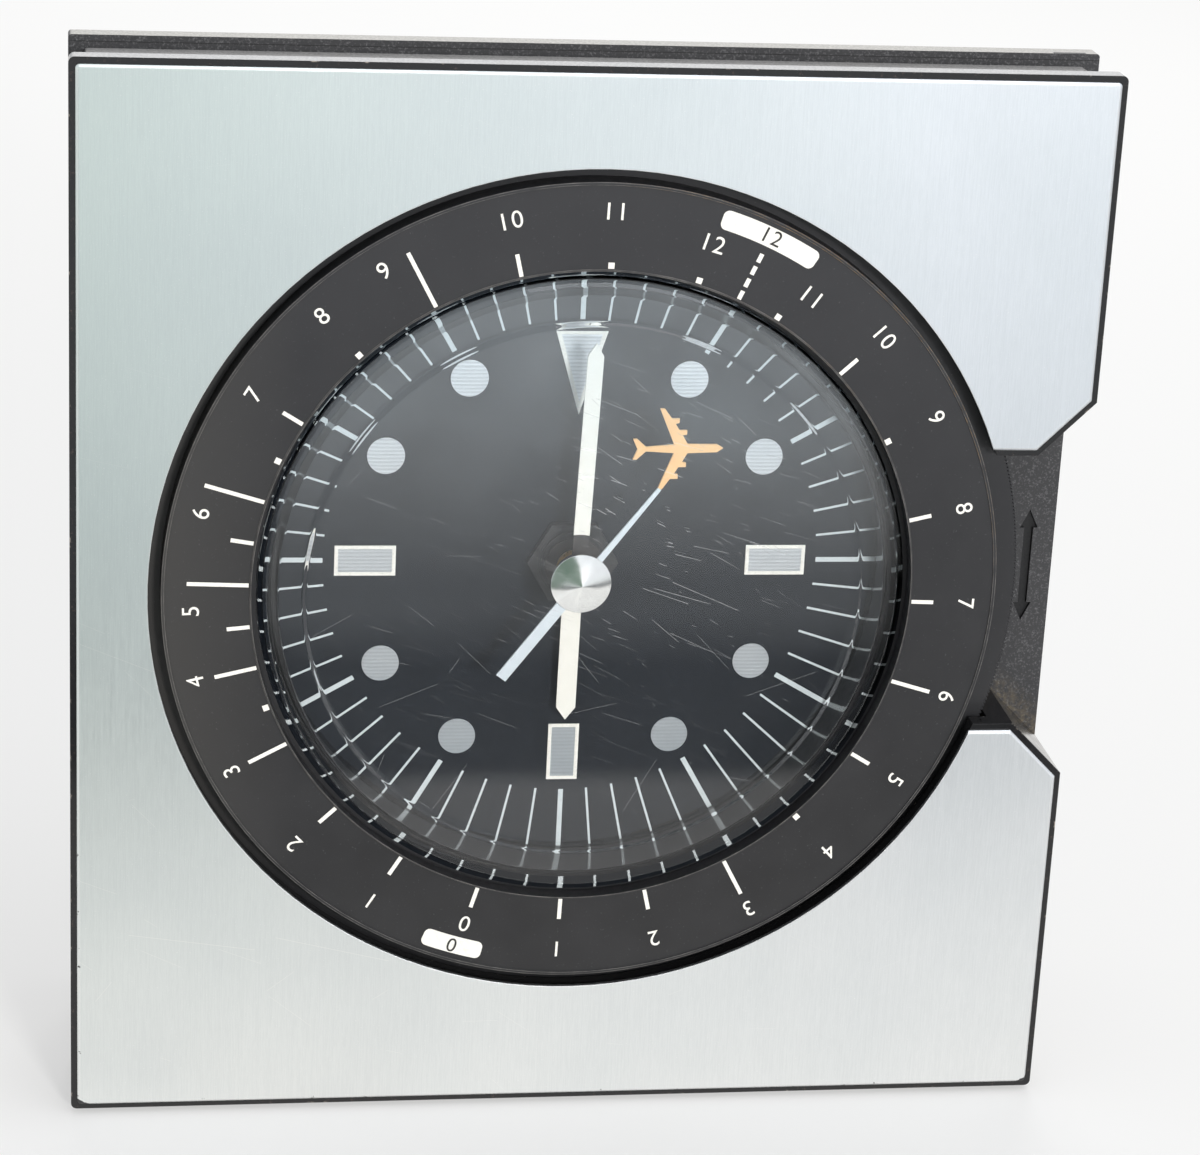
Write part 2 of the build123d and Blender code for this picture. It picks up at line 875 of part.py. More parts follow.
# Third wheel and the pinion that drives the centre wheel
with BuildPart() as third_wheel:
    gear(
        2,
        third_wheel_place,
        going_pinion_teeth,
        train_module,
        pinion_root_share,
        third_wheel_angle + 180,
        tooth_faces=True,
    )
    gear(
        3,
        third_wheel_place,
        third_wheel_teeth,
        third_wheel_module,
        wheel_root_share,
        third_wheel_angle + 180,
        tooth_faces=False,
    )
    arbor(third_wheel_place)
third_wheel.part.label = "third_wheel"
export_step(third_wheel.part, "parts/third_wheel.step")


# Second wheel and pinion on the arbor that runs up through both tubes
with BuildPart() as second_wheel:
    gear(
        3,
        centre_place,
        going_pinion_teeth,
        third_wheel_module,
        pinion_root_share,
        third_wheel_angle,
        tooth_faces=True,
    )
    gear(
        4,
        centre_place,
        second_wheel_teeth,
        second_wheel_module,
        wheel_root_share,
        idler_angle,
        tooth_faces=False,
    )
    second_wheel_back = level(4) + wheel_thick
    disc(second_arbor_radius, second_arbor_front, second_wheel_back)
    disc(arbor_radius, second_wheel_back, movement_inside_back - arbor_end_gap)
    disc(pivot_radius, movement_inside_back - arbor_end_gap, arbor_back)
second_wheel.part.label = "second_wheel"
export_step(second_wheel.part, "parts/second_wheel.step")


# Train bridge: arm on a pillar that carries the idler's front pivot behind the centre wheel
bridge_front = level(3)
bridge_back = bridge_front + wheel_thick
bridge_pillar_place = (idler_place[0] + bridge_reach, idler_place[1])
bridge_middle = (idler_place[0] + bridge_reach / 2, idler_place[1])
with BuildPart() as train_bridge:
    with BuildSketch(facing(bridge_front, *bridge_middle)):
        SlotCenterToCenter(bridge_reach, 2 * bridge_pillar_radius)
    extrude(amount=-wheel_thick)
    disc(bridge_pillar_radius, movement_inside_front, bridge_front, *bridge_pillar_place)
    disc(bridge_peg_radius, movement_front, movement_inside_front, *bridge_pillar_place)
    disc(
        pivot_radius + running_gap,
        bridge_front,
        bridge_back,
        *idler_place,
        mode=Mode.SUBTRACT,
    )
train_bridge.part.label = "train_bridge"
export_step(train_bridge.part, "parts/train_bridge.step")


# Idler wheel between the rotor and the second wheel
with BuildPart() as idler_wheel:
    gear(
        4,
        idler_place,
        going_pinion_teeth,
        second_wheel_module,
        pinion_root_share,
        idler_angle + 180,
        tooth_faces=True,
    )
    gear(
        5,
        idler_place,
        idler_wheel_teeth,
        train_module,
        wheel_root_share,
        rotor_angle,
        tooth_faces=False,
    )
    arbor(idler_place, bridge_back)
idler_wheel.part.label = "idler_wheel"
export_step(idler_wheel.part, "parts/idler_wheel.step")


# Rotor: magnet disc and pinion of the stepping motor
rotor_front = level(5) + wheel_thick + rotor_rise
with BuildPart() as rotor:
    gear(
        5,
        rotor_place,
        going_pinion_teeth,
        train_module,
        pinion_root_share,
        rotor_angle + 180,
        tooth_faces=True,
    )
    disc(rotor_radius, rotor_front, rotor_front + rotor_thick, *rotor_place)
    arbor(rotor_place)
rotor.part.label = "rotor"
export_step(rotor.part, "parts/rotor.step")


# Stator: soft iron plate round the rotor with two legs that reach the coil core
stator_front = rotor_front + stator_rise
stator_back = stator_front + stator_thick
leg_across = (stator_width - stator_leg) / 2
leg_top = coil_up + core_height / 2
leg_bottom = stator_up
leg_places = [(side * leg_across, (leg_top + leg_bottom) / 2) for side in (-1, 1)]
with BuildPart() as stator:
    with BuildSketch(facing(stator_front)):
        with Locations((0, stator_up)):
            Rectangle(stator_width, stator_band)
        with Locations(*leg_places):
            Rectangle(stator_leg, leg_top - leg_bottom)
        with Locations(rotor_place):
            Circle(rotor_radius + stator_gap, mode=Mode.SUBTRACT)
    extrude(amount=-stator_thick)
stator.part.label = "stator"
export_step(stator.part, "parts/stator.step")


# Coil core: flat bar lying on the stator's legs
with BuildPart() as coil_core:
    with BuildSketch(facing(stator_front, 0, coil_up)):
        Rectangle(stator_width, core_height)
    extrude(amount=core_thick)
coil_core.part.label = "coil_core"
export_step(coil_core.part, "parts/coil_core.step")


# Coil: bobbin with end flanges and its winding, threaded on the core
coil_half = leg_across - stator_leg / 2 - coil_leg_gap
coil_axis_station = stator_front - core_thick / 2
coil_plane = Plane(
    origin=(-coil_half, front_y + coil_axis_station, axis_height + coil_up),
    x_dir=(0, 1, 0),
    z_dir=(1, 0, 0),
)
with BuildPart() as coil:
    with BuildSketch(coil_plane):
        Circle(coil_radius)
    extrude(amount=2 * coil_half)
    with BuildSketch(coil_plane, coil_plane.offset(2 * coil_half - coil_flange_thick)):
        Circle(coil_flange_radius)
    extrude(amount=coil_flange_thick)
    with BuildSketch(coil_plane):
        Rectangle(core_thick + 2 * seat_gap, core_height + 2 * seat_gap)
    extrude(amount=2 * coil_half, mode=Mode.SUBTRACT)
coil.part.label = "coil"
export_step(coil.part, "parts/coil.step")


# Movement's front plate with the threaded bush, pivot holes and corner posts
post_reach = movement_width / 2 - post_inset
post_places = corner_places(post_reach, post_reach, -post_reach)
front_pivot_places = [minute_wheel_place, third_wheel_place, rotor_place, setting_place]
back_pivot_places = [
    minute_wheel_place,
    third_wheel_place,
    idler_place,
    rotor_place,
    centre_place,
]
bush_front = wall_front - bush_proud
with BuildPart() as movement_plate:
    with BuildSketch(facing(movement_front)):
        Rectangle(movement_width, movement_width)
    extrude(amount=-movement_plate_thick)
    disc(bush_radius, bush_front, movement_front)
    disc(bush_bore, bush_front, movement_inside_front, mode=Mode.SUBTRACT)
    discs(post_places, post_radius, movement_inside_front, movement_inside_back)
    pilot_end = movement_inside_back - movement_screw_length
    small_pilot_radius = small_screw_radius + pilot_gap
    discs(post_places, small_pilot_radius, movement_inside_back, pilot_end, mode=Mode.SUBTRACT)
    with BuildSketch(facing(movement_front)):
        with Locations(*front_pivot_places):
            Circle(pivot_radius + running_gap)
        with Locations(bridge_pillar_place):
            Circle(bridge_peg_radius + seat_gap)
    extrude(amount=-movement_plate_thick, mode=Mode.SUBTRACT)
movement_plate.part.label = "movement_plate"
export_step(movement_plate.part, "parts/movement_plate.step")


# Movement's rear cover: a box over the wheels, with pivot holes and the board's posts
board_front = movement_inside_back - board_back_gap
board_back = board_front + board_thick
board_post_reach = board_size / 2 - board_post_inset
board_post_places = [
    (board_across - board_post_reach, board_up),
    (board_across + board_post_reach, board_up),
]
with BuildPart() as movement_cover:
    with BuildSketch(facing(movement_inside_front)):
        Rectangle(movement_width, movement_width)
    extrude(amount=movement_inside_front - movement_back)
    with BuildSketch(facing(movement_inside_front)):
        Rectangle(movement_width - 2 * movement_wall, movement_width - 2 * movement_wall)
    extrude(amount=-movement_inside_depth, mode=Mode.SUBTRACT)
    discs(board_post_places, board_post_radius, board_back, movement_inside_back)
    with BuildSketch(facing(movement_inside_back)):
        with Locations(*back_pivot_places):
            Circle(pivot_radius + running_gap)
        with Locations(*post_places):
            Circle(small_screw_radius + clear_gap)
        with Locations(setting_place):
            Circle(stem_radius + running_gap)
    extrude(amount=-movement_wall, mode=Mode.SUBTRACT)
    discs(leg_places, board_post_radius, stator_back, movement_inside_back)
movement_cover.part.label = "movement_cover"
export_step(movement_cover.part, "parts/movement_cover.step")


# Circuit board with its driver chip and the quartz can
with BuildPart() as circuit_board:
    with BuildSketch(facing(board_front, board_across, board_up)):
        Rectangle(board_size, board_size)
    extrude(amount=-board_thick)
circuit_board.part.label = "circuit_board"
export_step(circuit_board.part, "parts/circuit_board.step")

with BuildPart() as driver_chip:
    with BuildSketch(facing(board_front, board_across, board_up - can_side)):
        Rectangle(chip_size, chip_size)
    extrude(amount=chip_thick)
driver_chip.part.label = "driver_chip"
export_step(driver_chip.part, "parts/driver_chip.step")

can_plane = Plane(
    origin=(
        board_across - can_length / 2,
        front_y + board_front - can_radius - seat_gap,
        axis_height + board_up + can_up,
    ),
    x_dir=(0, 1, 0),
    z_dir=(1, 0, 0),
)
with BuildPart() as quartz_can:
    with BuildSketch(can_plane):
        Circle(can_radius)
    extrude(amount=can_length)
quartz_can.part.label = "quartz_can"
export_step(quartz_can.part, "parts/quartz_can.step")


# Setting stem: pinion in mesh with the minute wheel, stem out through the back
with BuildPart() as setting_stem:
    gear(
        1,
        setting_place,
        setting_teeth,
        cannon_module,
        pinion_root_share,
        setting_angle + 180,
        tooth_faces=True,
    )
    disc(stem_radius, level(0), knob_front + knob_seat_depth, *setting_place)
    disc(pivot_radius, movement_inside_front - pivot_length, level(0), *setting_place)
setting_stem.part.label = "setting_stem"
export_step(setting_stem.part, "parts/setting_stem.step")


# Setting knob: fluted disc on the end of the stem
with BuildPart() as setting_knob:
    with BuildSketch(facing(knob_front, *setting_place)):
        Circle(knob_radius)
        with PolarLocations(knob_radius, flute_count):
            Circle(knob_flute_radius, mode=Mode.SUBTRACT)
    extrude(amount=knob_front - knob_back)
    disc(
        stem_radius + seat_gap,
        knob_front,
        knob_front + knob_seat_depth + seat_gap,
        *setting_place,
        mode=Mode.SUBTRACT,
    )
setting_knob.part.label = "setting_knob"
export_step(setting_knob.part, "parts/setting_knob.step")


# Rear case: wall behind the dial, square lip, walls that draw in towards the back
back_width = case_width - 2 * back_side_draw
back_height = case_height - back_top_drop
back_rise = outline_rise - back_top_drop / 2
tray_floor = -battery_down - battery_radius - battery_floor_gap
tray_top = -battery_down + battery_radius - tray_end_drop
tray_left = -battery_length / 2 - spring_room - contact_thick - contact_gap
tray_right = battery_length / 2 + contact_thick + contact_gap
tray_back = cover_front - tray_back_gap
bezel_boss_radius = small_screw_radius + small_boss_wall
bezel_boss_back = wall_front + bezel_screw_length + overrun
with BuildPart() as rear_case:
    with BuildSketch(facing(wall_front)):
        outline_face(corner=back_corner_radius)
    extrude(amount=-lip_depth)
    with BuildSketch(facing(lip_back)):
        outline_face(corner=back_corner_radius)
    with BuildSketch(facing(cover_front)):
        with Locations((0, back_rise)):
            RectangleRounded(back_width, back_height, back_corner_radius)
    loft(ruled=True)
    with BuildSketch(facing(wall_back)):
        with Locations((0, outline_rise)):
            Rectangle(case_width - 2 * shell_wall, case_height - 2 * shell_wall)
    with BuildSketch(facing(cover_front)):
        with Locations((0, back_rise)):
            Rectangle(back_width - 2 * shell_wall, back_height - 2 * shell_wall)
    loft(ruled=True, mode=Mode.SUBTRACT)
    # Bosses for the cover and bezel screws
    discs(cover_screw_places, frame_boss_radius, wall_back, cover_front)
    discs(bezel_screw_places, bezel_boss_radius, wall_back, bezel_boss_back)
    pilot_end = cover_front - cover_screw_length
    discs(cover_screw_places, pilot_radius, cover_front, pilot_end, mode=Mode.SUBTRACT)
    pilot_end = wall_front + bezel_screw_length
    discs(bezel_screw_places, small_pilot_radius, wall_front, pilot_end, mode=Mode.SUBTRACT)
    # Seat of the dial and the holes through the wall
    disc(dial_radius + dial_edge_gap, wall_front, wall_front + dial_thick, mode=Mode.SUBTRACT)
    disc(bush_radius + running_gap, wall_front, wall_back, mode=Mode.SUBTRACT)
    with BuildSketch(facing(wall_front)):
        with Locations(*frame_screw_places):
            Circle(frame_screw_radius + clear_gap)
    extrude(amount=-shell_wall, mode=Mode.SUBTRACT)
    # Double arrow let into the wall of the finger notch
    with BuildSketch(facing(wall_front, arrow_across, -arrow_drop)):
        head_base = arrow_half_length - arrow_head_length
        Rectangle(2 * arrow_shaft_half, 2 * head_base)
        for way in (-1, 1):
            Polygon(
                (-arrow_head_half, way * head_base),
                (arrow_head_half, way * head_base),
                (0, way * arrow_half_length),
                align=None,
            )
    extrude(amount=-arrow_depth, mode=Mode.SUBTRACT)
    # Battery tray: floor and two end walls
    with BuildSketch(facing(wall_back)):
        with Locations(((tray_left + tray_right) / 2, tray_floor - tray_wall / 2)):
            Rectangle(tray_right - tray_left + 2 * tray_wall, tray_wall)
        tray_middle = (tray_floor + tray_top) / 2
        with Locations(
            (tray_left - tray_wall / 2, tray_middle), (tray_right + tray_wall / 2, tray_middle)
        ):
            Rectangle(tray_wall, tray_top - tray_floor)
    extrude(amount=wall_back - tray_back)
rear_case.part.label = "rear_case"
export_step(rear_case.part, "parts/rear_case.step")


# Back cover with the stem hole, the screw holes and the stepped battery opening
door_across = (tray_left + tray_right) / 2
opening_length = tray_right - tray_left + 2 * (tray_wall + door_end_room)
opening_height = 2 * (battery_radius + door_side_room)
door_length = opening_length + 2 * door_ledge
door_height = opening_height + 2 * door_ledge
door_back = cover_back
door_front = door_back - door_thick
with BuildPart() as back_cover:
    with BuildSketch(facing(cover_front)):
        with Locations((0, back_rise)):
            RectangleRounded(back_width, back_height, back_corner_radius)
        with Locations(*cover_screw_places):
            Circle(frame_screw_radius + clear_gap, mode=Mode.SUBTRACT)
        with Locations(setting_place):
            Circle(stem_radius + running_gap, mode=Mode.SUBTRACT)
        with Locations((door_across, -battery_down)):
            Rectangle(opening_length, opening_height, mode=Mode.SUBTRACT)
    extrude(amount=-cover_thick)
    with BuildSketch(facing(door_front, door_across, -battery_down)):
        Rectangle(door_length, door_height)
    extrude(amount=-door_thick, mode=Mode.SUBTRACT)
back_cover.part.label = "back_cover"
export_step(back_cover.part, "parts/back_cover.step")


# Battery door: lid on the ledge, plug through the opening, ribs for the finger
rib_places = [(door_across, -battery_down + row * 2 * door_rib_width) for row in (-1, 0, 1)]
plug_length = opening_length - 2 * door_gap
plug_height = opening_height - 2 * door_gap
with BuildPart() as battery_door:
    with BuildSketch(facing(door_front, door_across, -battery_down)):
        Rectangle(door_length - 2 * door_gap, door_height - 2 * door_gap)
    extrude(amount=-door_thick)
    with BuildSketch(facing(door_front, door_across, -battery_down)):
        Rectangle(plug_length, plug_height)
    extrude(amount=door_plug_depth)
    with BuildSketch(facing(door_back)):
        with Locations(*rib_places):
            Rectangle(door_rib_length, door_rib_width)
    extrude(amount=-door_rib_rise)
battery_door.part.label = "battery_door"
export_step(battery_door.part, "parts/battery_door.step")


# Battery: one large round cell lying across the case
battery_plane = Plane(
    origin=(-battery_length / 2, front_y + battery_station, axis_height - battery_down),
    x_dir=(0, 1, 0),
    z_dir=(1, 0, 0),
)
with BuildPart() as battery:
    with BuildSketch(battery_plane):
        Circle(battery_radius)
    extrude(amount=battery_length - battery_nub_length)
    with BuildSketch(battery_plane.offset(battery_length - battery_nub_length)):
        Circle(battery_nub_radius)
    extrude(amount=battery_nub_length)
battery.part.label = "battery"
export_step(battery.part, "parts/battery.step")


# Contacts: plates on the tray's ends with straps up to the movement's terminals


def contact(plate_left, tab_way):
    """Contact plate at an end of the tray, its strap and the tab under the movement."""
    centre = plate_left + contact_thick / 2
    strap_bottom = -battery_down + contact_size / 2
    strap_middle = (strap_bottom + movement_bottom) / 2
    tab_up = movement_bottom - contact_thick / 2
    tab_across = centre + tab_way * (terminal_length - contact_thick) / 2
    with BuildSketch(facing(battery_station - contact_size / 2)) as plate:
        with Locations((centre, -battery_down)):
            Rectangle(contact_thick, contact_size)
    extrude(plate.sketch, amount=-contact_size)
    with BuildSketch(facing(battery_station - strap_width / 2)) as strap:
        with Locations((centre, strap_middle)):
            Rectangle(contact_thick, movement_bottom - strap_bottom)
        with Locations((tab_across, tab_up)):
            Rectangle(terminal_length, contact_thick)
    extrude(strap.sketch, amount=-strap_width)


with BuildPart() as positive_contact:
    contact(battery_length / 2 + contact_gap, -1)
positive_contact.part.label = "positive_contact"
export_step(positive_contact.part, "parts/positive_contact.step")

negative_plate_left = tray_left
spring_base = negative_plate_left + contact_thick
spring_tip = -battery_length / 2 - contact_gap
spring_plane = Plane(
    origin=(spring_base, front_y + battery_station, axis_height - battery_down),
    x_dir=(0, 1, 0),
    z_dir=(1, 0, 0),
)
with BuildPart() as negative_contact:
    contact(negative_plate_left, 1)
    with BuildSketch(spring_plane):
        Circle(spring_big_radius)
    with BuildSketch(spring_plane.offset(spring_tip - spring_base)):
        Circle(spring_small_radius)
    loft()
    with BuildSketch(spring_plane):
        Circle(spring_big_radius - spring_wire)
    with BuildSketch(spring_plane.offset(spring_tip - spring_base)):
        Circle(spring_small_radius - spring_wire)
    loft(mode=Mode.SUBTRACT)
negative_contact.part.label = "negative_contact"
export_step(negative_contact.part, "parts/negative_contact.step")


def screws(places, seat, length, radius, way):
    """Slotted pan head screws, heads on a seat station, shanks running along way.

    Way is 1 where the shanks run backwards from the heads and -1 where they run forwards.
    """
    head_radius = radius * head_radius_share
    head_back = seat - way * radius * head_height_share
    slot_end = head_back + way * radius * slot_depth_share
    discs(places, head_radius, head_back, seat)
    discs(places, radius, seat, seat + way * length)
    with BuildSketch(facing(head_back)) as slots:
        with Locations(*places):
            Rectangle(2 * head_radius, 2 * radius * slot_width_share)
    extrude(slots.sketch, amount=head_back - slot_end, mode=Mode.SUBTRACT)


# Screws that hold the front frame, from inside the rear case
with BuildPart() as frame_screws:
    screws(frame_screw_places, wall_back, frame_screw_length, frame_screw_radius, -1)
frame_screws.part.label = "frame_screws"
export_step(frame_screws.part, "parts/frame_screws.step")

# Screws of the back cover
with BuildPart() as cover_screws:
    screws(cover_screw_places, cover_back, cover_screw_length, frame_screw_radius, -1)
cover_screws.part.label = "cover_screws"
export_step(cover_screws.part, "parts/cover_screws.step")

# Screws of the crystal's bezel
with BuildPart() as bezel_screws:
    screws(bezel_screw_places, bezel_flange_front, bezel_screw_length, small_screw_radius, 1)
bezel_screws.part.label = "bezel_screws"
export_step(bezel_screws.part, "parts/bezel_screws.step")

# Screws of the movement's cover
with BuildPart() as movement_screws:
    screws(post_places, movement_back, movement_screw_length, small_screw_radius, -1)
movement_screws.part.label = "movement_screws"
export_step(movement_screws.part, "parts/movement_screws.step")


# Rubber feet: a taller pair under the neck, a thin pair under the rear case
foot_across = case_right - foot_inset
front_foot_y = front_y + rim_back + front_foot_depth
rear_foot_y = front_y + cover_front - rear_foot_setback
with BuildPart() as front_feet:
    with BuildSketch(Plane.XY):
        with Locations((-foot_across, front_foot_y), (foot_across, front_foot_y)):
            Circle(foot_radius)
    extrude(amount=foot_height + neck_inset)
front_feet.part.label = "front_feet"
export_step(front_feet.part, "parts/front_feet.step")

with BuildPart() as rear_feet:
    with BuildSketch(Plane.XY):
        with Locations((-foot_across, rear_foot_y), (foot_across, rear_foot_y)):
            Circle(foot_radius)
    extrude(amount=foot_height)
rear_feet.part.label = "rear_feet"
export_step(rear_feet.part, "parts/rear_feet.step")
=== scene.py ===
import json
import math

import bmesh
import bpy
from mathutils import Matrix, Vector


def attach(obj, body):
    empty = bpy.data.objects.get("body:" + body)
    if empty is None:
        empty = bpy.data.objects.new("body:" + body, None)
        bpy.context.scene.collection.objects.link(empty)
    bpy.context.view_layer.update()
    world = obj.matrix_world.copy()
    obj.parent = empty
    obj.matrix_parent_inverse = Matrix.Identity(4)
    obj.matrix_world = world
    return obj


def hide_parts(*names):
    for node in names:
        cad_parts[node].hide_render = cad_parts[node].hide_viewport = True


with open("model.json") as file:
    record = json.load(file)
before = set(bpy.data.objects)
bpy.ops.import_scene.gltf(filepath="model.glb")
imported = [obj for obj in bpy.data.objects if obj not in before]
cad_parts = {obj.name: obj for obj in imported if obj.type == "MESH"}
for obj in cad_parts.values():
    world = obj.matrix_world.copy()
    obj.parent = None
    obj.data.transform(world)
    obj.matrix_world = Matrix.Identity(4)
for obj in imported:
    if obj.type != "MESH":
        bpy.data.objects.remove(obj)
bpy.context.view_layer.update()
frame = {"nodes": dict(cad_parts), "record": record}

# World time desk clock. The clock's lengths are in millimetres and turned to metres in spot().
# Across and up are measured from the hand axis, a station is a distance behind the front of the
# fascia plate, and an angle is in degrees clockwise from twelve. The stage is in metres.
MM = 0.001
FRONT_Y = -25.55
AXIS_Z = 84.0

# Time zone ring
RING_BORE = 48.95
RING_INNER_LIP = 49.2
RING_PRINT_RADIUS = 61.5
RING_RADIUS = 62.0
RING_FLANGE_RADIUS = 66.1
RING_PRINT_STATION = 0.4
RING_LIP_STATION = 0.15
RING_BACK = 2.9
RING_SKIRT_OUTER = 53.45
RING_SKIRT_BORE = 50.95
RING_SKIRT_BACK = 14.55
RING_WALL_INNER = 59.5
RING_EASE = 0.1
FLANGE_FRONT = 4.2
FLANGE_BACK = 6.7

# Teeth round the ring's flange. Their half widths are angles, at the root and at the tip.
KNURL_DEPTH = 0.3
KNURL_TEETH = 720
KNURL_SUNK = 0.05
TOOTH_PITCH = 360 / KNURL_TEETH
TOOTH_ROOT = 0.4 * TOOTH_PITCH
TOOTH_TIP = 0.2 * TOOTH_PITCH
FLANGE_ROOT = RING_FLANGE_RADIUS - KNURL_DEPTH

# Crystal, and the dial behind it
CRYSTAL_RADIUS = 48.05
CRYSTAL_FACE_RADIUS = 41.05
CRYSTAL_INSIDE = 46.45
CRYSTAL_FLANGE_RADIUS = 49.6
CRYSTAL_FACE = -0.4
CRYSTAL_SHOULDER = 0.1
CRYSTAL_FACE_BACK = 2.0
CRYSTAL_FLANGE_STATION = 14.6
CRYSTAL_BEVEL = 1.4
CRYSTAL_STEP = 0.5
CRYSTAL_EASE = 0.2
DIAL_STATION = 16.1

# Plate, case, and the case's wall behind the finger notch with its arrow
PLATE_HALF = 74.05
PLATE_DOWN = 82.25
CHIP_START = 0.65
CHIP_FULL = 0.45
LEFT_CORNER_CHIP = 2.1
RIGHT_CORNER_CHIP = 1.6
CASE_TOP = 78.4
CASE_SEAM_DROP = 0.95
CASE_SEAM_HALF = 0.09
WALL_FRONT = 16.1
ARROW_LEFT = 68.0
ARROW_RIGHT = 73.0
ARROW_DEPTH = 0.9

# Polished cone on the hands
CAP_RADIUS = 4.55
CAP_EDGE = 5.4
CAP_TIP = 4.0
CAP_BACK = 5.85
CAP_BORE = 0.82
CAP_BORE_FRONT = 4.6
CAP_TIP_SHARE = 0.02
CAP_EASE = 0.06
CAP_SEGMENTS = 144
HAND_HUB_RADIUS = 6.65

# Battery: where its copper band starts, and its bare ends, across from the middle
BATTERY_BAND = 11.9
BATTERY_END = 23.4

# Ticks of the ring, which start at its bore, and the hours that have each length
HOUR_STEP = 15.0
FIRST_HOUR_ANGLE = 196.7
PRINT_THICK = 0.03
PRINT_FRONT = RING_PRINT_STATION - PRINT_THICK
TICK_WIDTH = 0.6
TICK_START = 49.35
TICK_NORMAL_END = 52.7
TICK_MEDIUM_END = 55.6
TICK_LONG_END = 58.3
SQUARE_SIZE = 0.9
LONG_HOURS = (5, 6, 9)
MEDIUM_HOURS = (3, 4, 18, 21)
SQUARE_HOURS = (3.5, 6.5, 8, 11, 12, 13, 15, 20)
NORMAL_HOURS = (0, 1, 2, 4.5, 5.5, 7, 10, 14, 16, 17, 19, 22, 23)
DASHED_HOUR = 12.5
DASHES = 4
DASH_PITCH = 2.0
DASH_LENGTH = 1.35
DASH_WIDTH = 0.65

# Numbers of the ring. Some give way to a pill or to a longer tick: radius and angle aside.
NUMBER_SIZE = 3.6
NUMBER_SPACING = 1.12
NUMBER_CURVE_STEPS = 6
NUMBER_PLACE = (57.6, 0.0)
MOVED_NUMBERS = {
    0: (55.4, 0.0),
    12: (55.4, 0.0),
    13: (54.8, 2.5),
    **{hour: (58.3, 0.0) for hour in MEDIUM_HOURS},
    **{hour: (57.6, -4.2) for hour in LONG_HOURS},
}

# Pale pills of the ring: hour, radius, length, height and the number on it
PILLS = ((DASHED_HOUR, 59.4, 15.4, 2.9, "12"), (0.05, 59.3, 9.4, 2.8, "0"))
PILL_CORNER = 0.9
PILL_STEPS = 40
PILL_NUMBER_SIZE = 3.2

# Minute track of the dial
TRACK_INNER = 37.6
TRACK_OUTER = 48.4
TRACK_WIDTH = 0.35
TRACK_WIDTH_AT_HOUR = 0.76
TRACK_THICK = 0.02

# Borders of the hour marks: the three bars, and the triangle's outer and inner corners
MARK_FRONT = 15.95
BAR_MARK_ANGLES = (90, 180, 270)
BAR_MARK_RADIUS = 31.25
BAR_MARK_HALF_LENGTH = 4.6
BAR_MARK_WIDTH = 4.75
MARK_BORDER = 0.55
TRIANGLE_OUTER = [(-3.9, 35.9), (3.9, 35.9), (0, 23.0)]
TRIANGLE_INNER = [(-3.05, 35.4), (3.05, 35.4), (0, 25.0)]

# Painted sheen on the level faces along the top: how level a face is, how far up, and where it
# thins out on the slope
TOP_SHEEN_LEVEL = (0.8, 0.98)
TOP_SHEEN_UP = (60.0, 70.0)
TOP_SHEEN_STATION = (19.9, 19.4)
TOP_SHEEN_ON_SLOPE = 0.2

# Meshes
SEGMENTS = 288
SHARP_ANGLE = 30.0
EASE_STEPS = 3
EASE_SHARE = 0.45
MERGE_DISTANCE = 1e-7

# Textures. A core is the share of a line's half width that is at full strength.
BEVEL_SAMPLES = 4
EDGE_START, EDGE_FULL = 0.99, 0.8
NOISE_LOW, NOISE_HIGH = 0.3, 0.7
HAIRLINE_CORE = 0.3
BAND_CORE = 0.6

# Scratches, one row for a set: size of its cells, width, slant, spread of the slant in radians,
# share of the cells that have one, and half its greatest length in cells
PLATE_SCRATCHES = (
    (26.0, 0.10, -0.30, 0.5, 0.5, 0.42),
    (11.0, 0.07, -0.35, 1.0, 0.5, 0.42),
    (17.0, 0.08, 0.7, 0.6, 0.3, 0.42),
)
CRYSTAL_SCRATCHES = (
    (7.5, 0.075, -0.36, 0.22, 0.9, 0.5),
    (9.1, 0.075, -0.30, 0.18, 0.9, 0.5),
    (11.3, 0.08, -0.44, 0.25, 0.9, 0.5),
    (5.6, 0.065, -0.58, 0.40, 0.7, 0.5),
    (3.1, 0.06, -0.42, 0.50, 0.45, 0.4),
)
STRAY_SCRATCHES = (
    (9.0, 0.05, -0.5, 1.0, 0.4, 0.42),
    (14.0, 0.06, 0.8, 1.4, 0.25, 0.42),
)
# Where the crystal is scratched most: across, up and reach. Near the edge it isn't scratched.
SCRATCHED_PLACE = (9.0, 11.0, 28.0)
SCRATCHED_RADIUS = (40.6, 40.2)
# The painted sky reflection on the crystal grows upwards, to its greatest share, and stays on the
# front
SKY_SHEEN_UP = (2.0, 38.0)
SKY_SHEEN_SHARE = 0.11
SKY_SHEEN_STATION = (1.2, 1.0)
# Painted highlight lines on the ring's lips: radius and half width
LIP_HIGHLIGHT_LINES = ((49.02, 0.06), (49.20, 0.05), (61.56, 0.05), (61.92, 0.05))

# Stage. To the camera the floor glows more with the distance, so that it ends without a line.
# The green patch of the surroundings lies round GREEN_WAY, inside two cosines.
FLOOR_HALF = 6.0
FLOOR_DARKER = (0.81, 0.81, 0.805, 1)
FLOOR_LIGHTER = (0.85, 0.85, 0.845, 1)
FLOOR_GLOW_WAY = (0.5, 2.5)
FLOOR_GLOW_SHARE = (0.48, 0.94)
CAMERA_WHITE = (1.0, 0.997, 0.99, 1)
GREENERY = (0.10, 0.17, 0.12, 1)
SKY = (0.95, 0.97, 1.0, 1)
SKY_TO_CAMERA = 0.97
SKY_LIGHT = 0.5
GREEN_WAY = (-0.258, -0.962, 0.087)
GREEN_START, GREEN_FULL = 0.92, 0.94

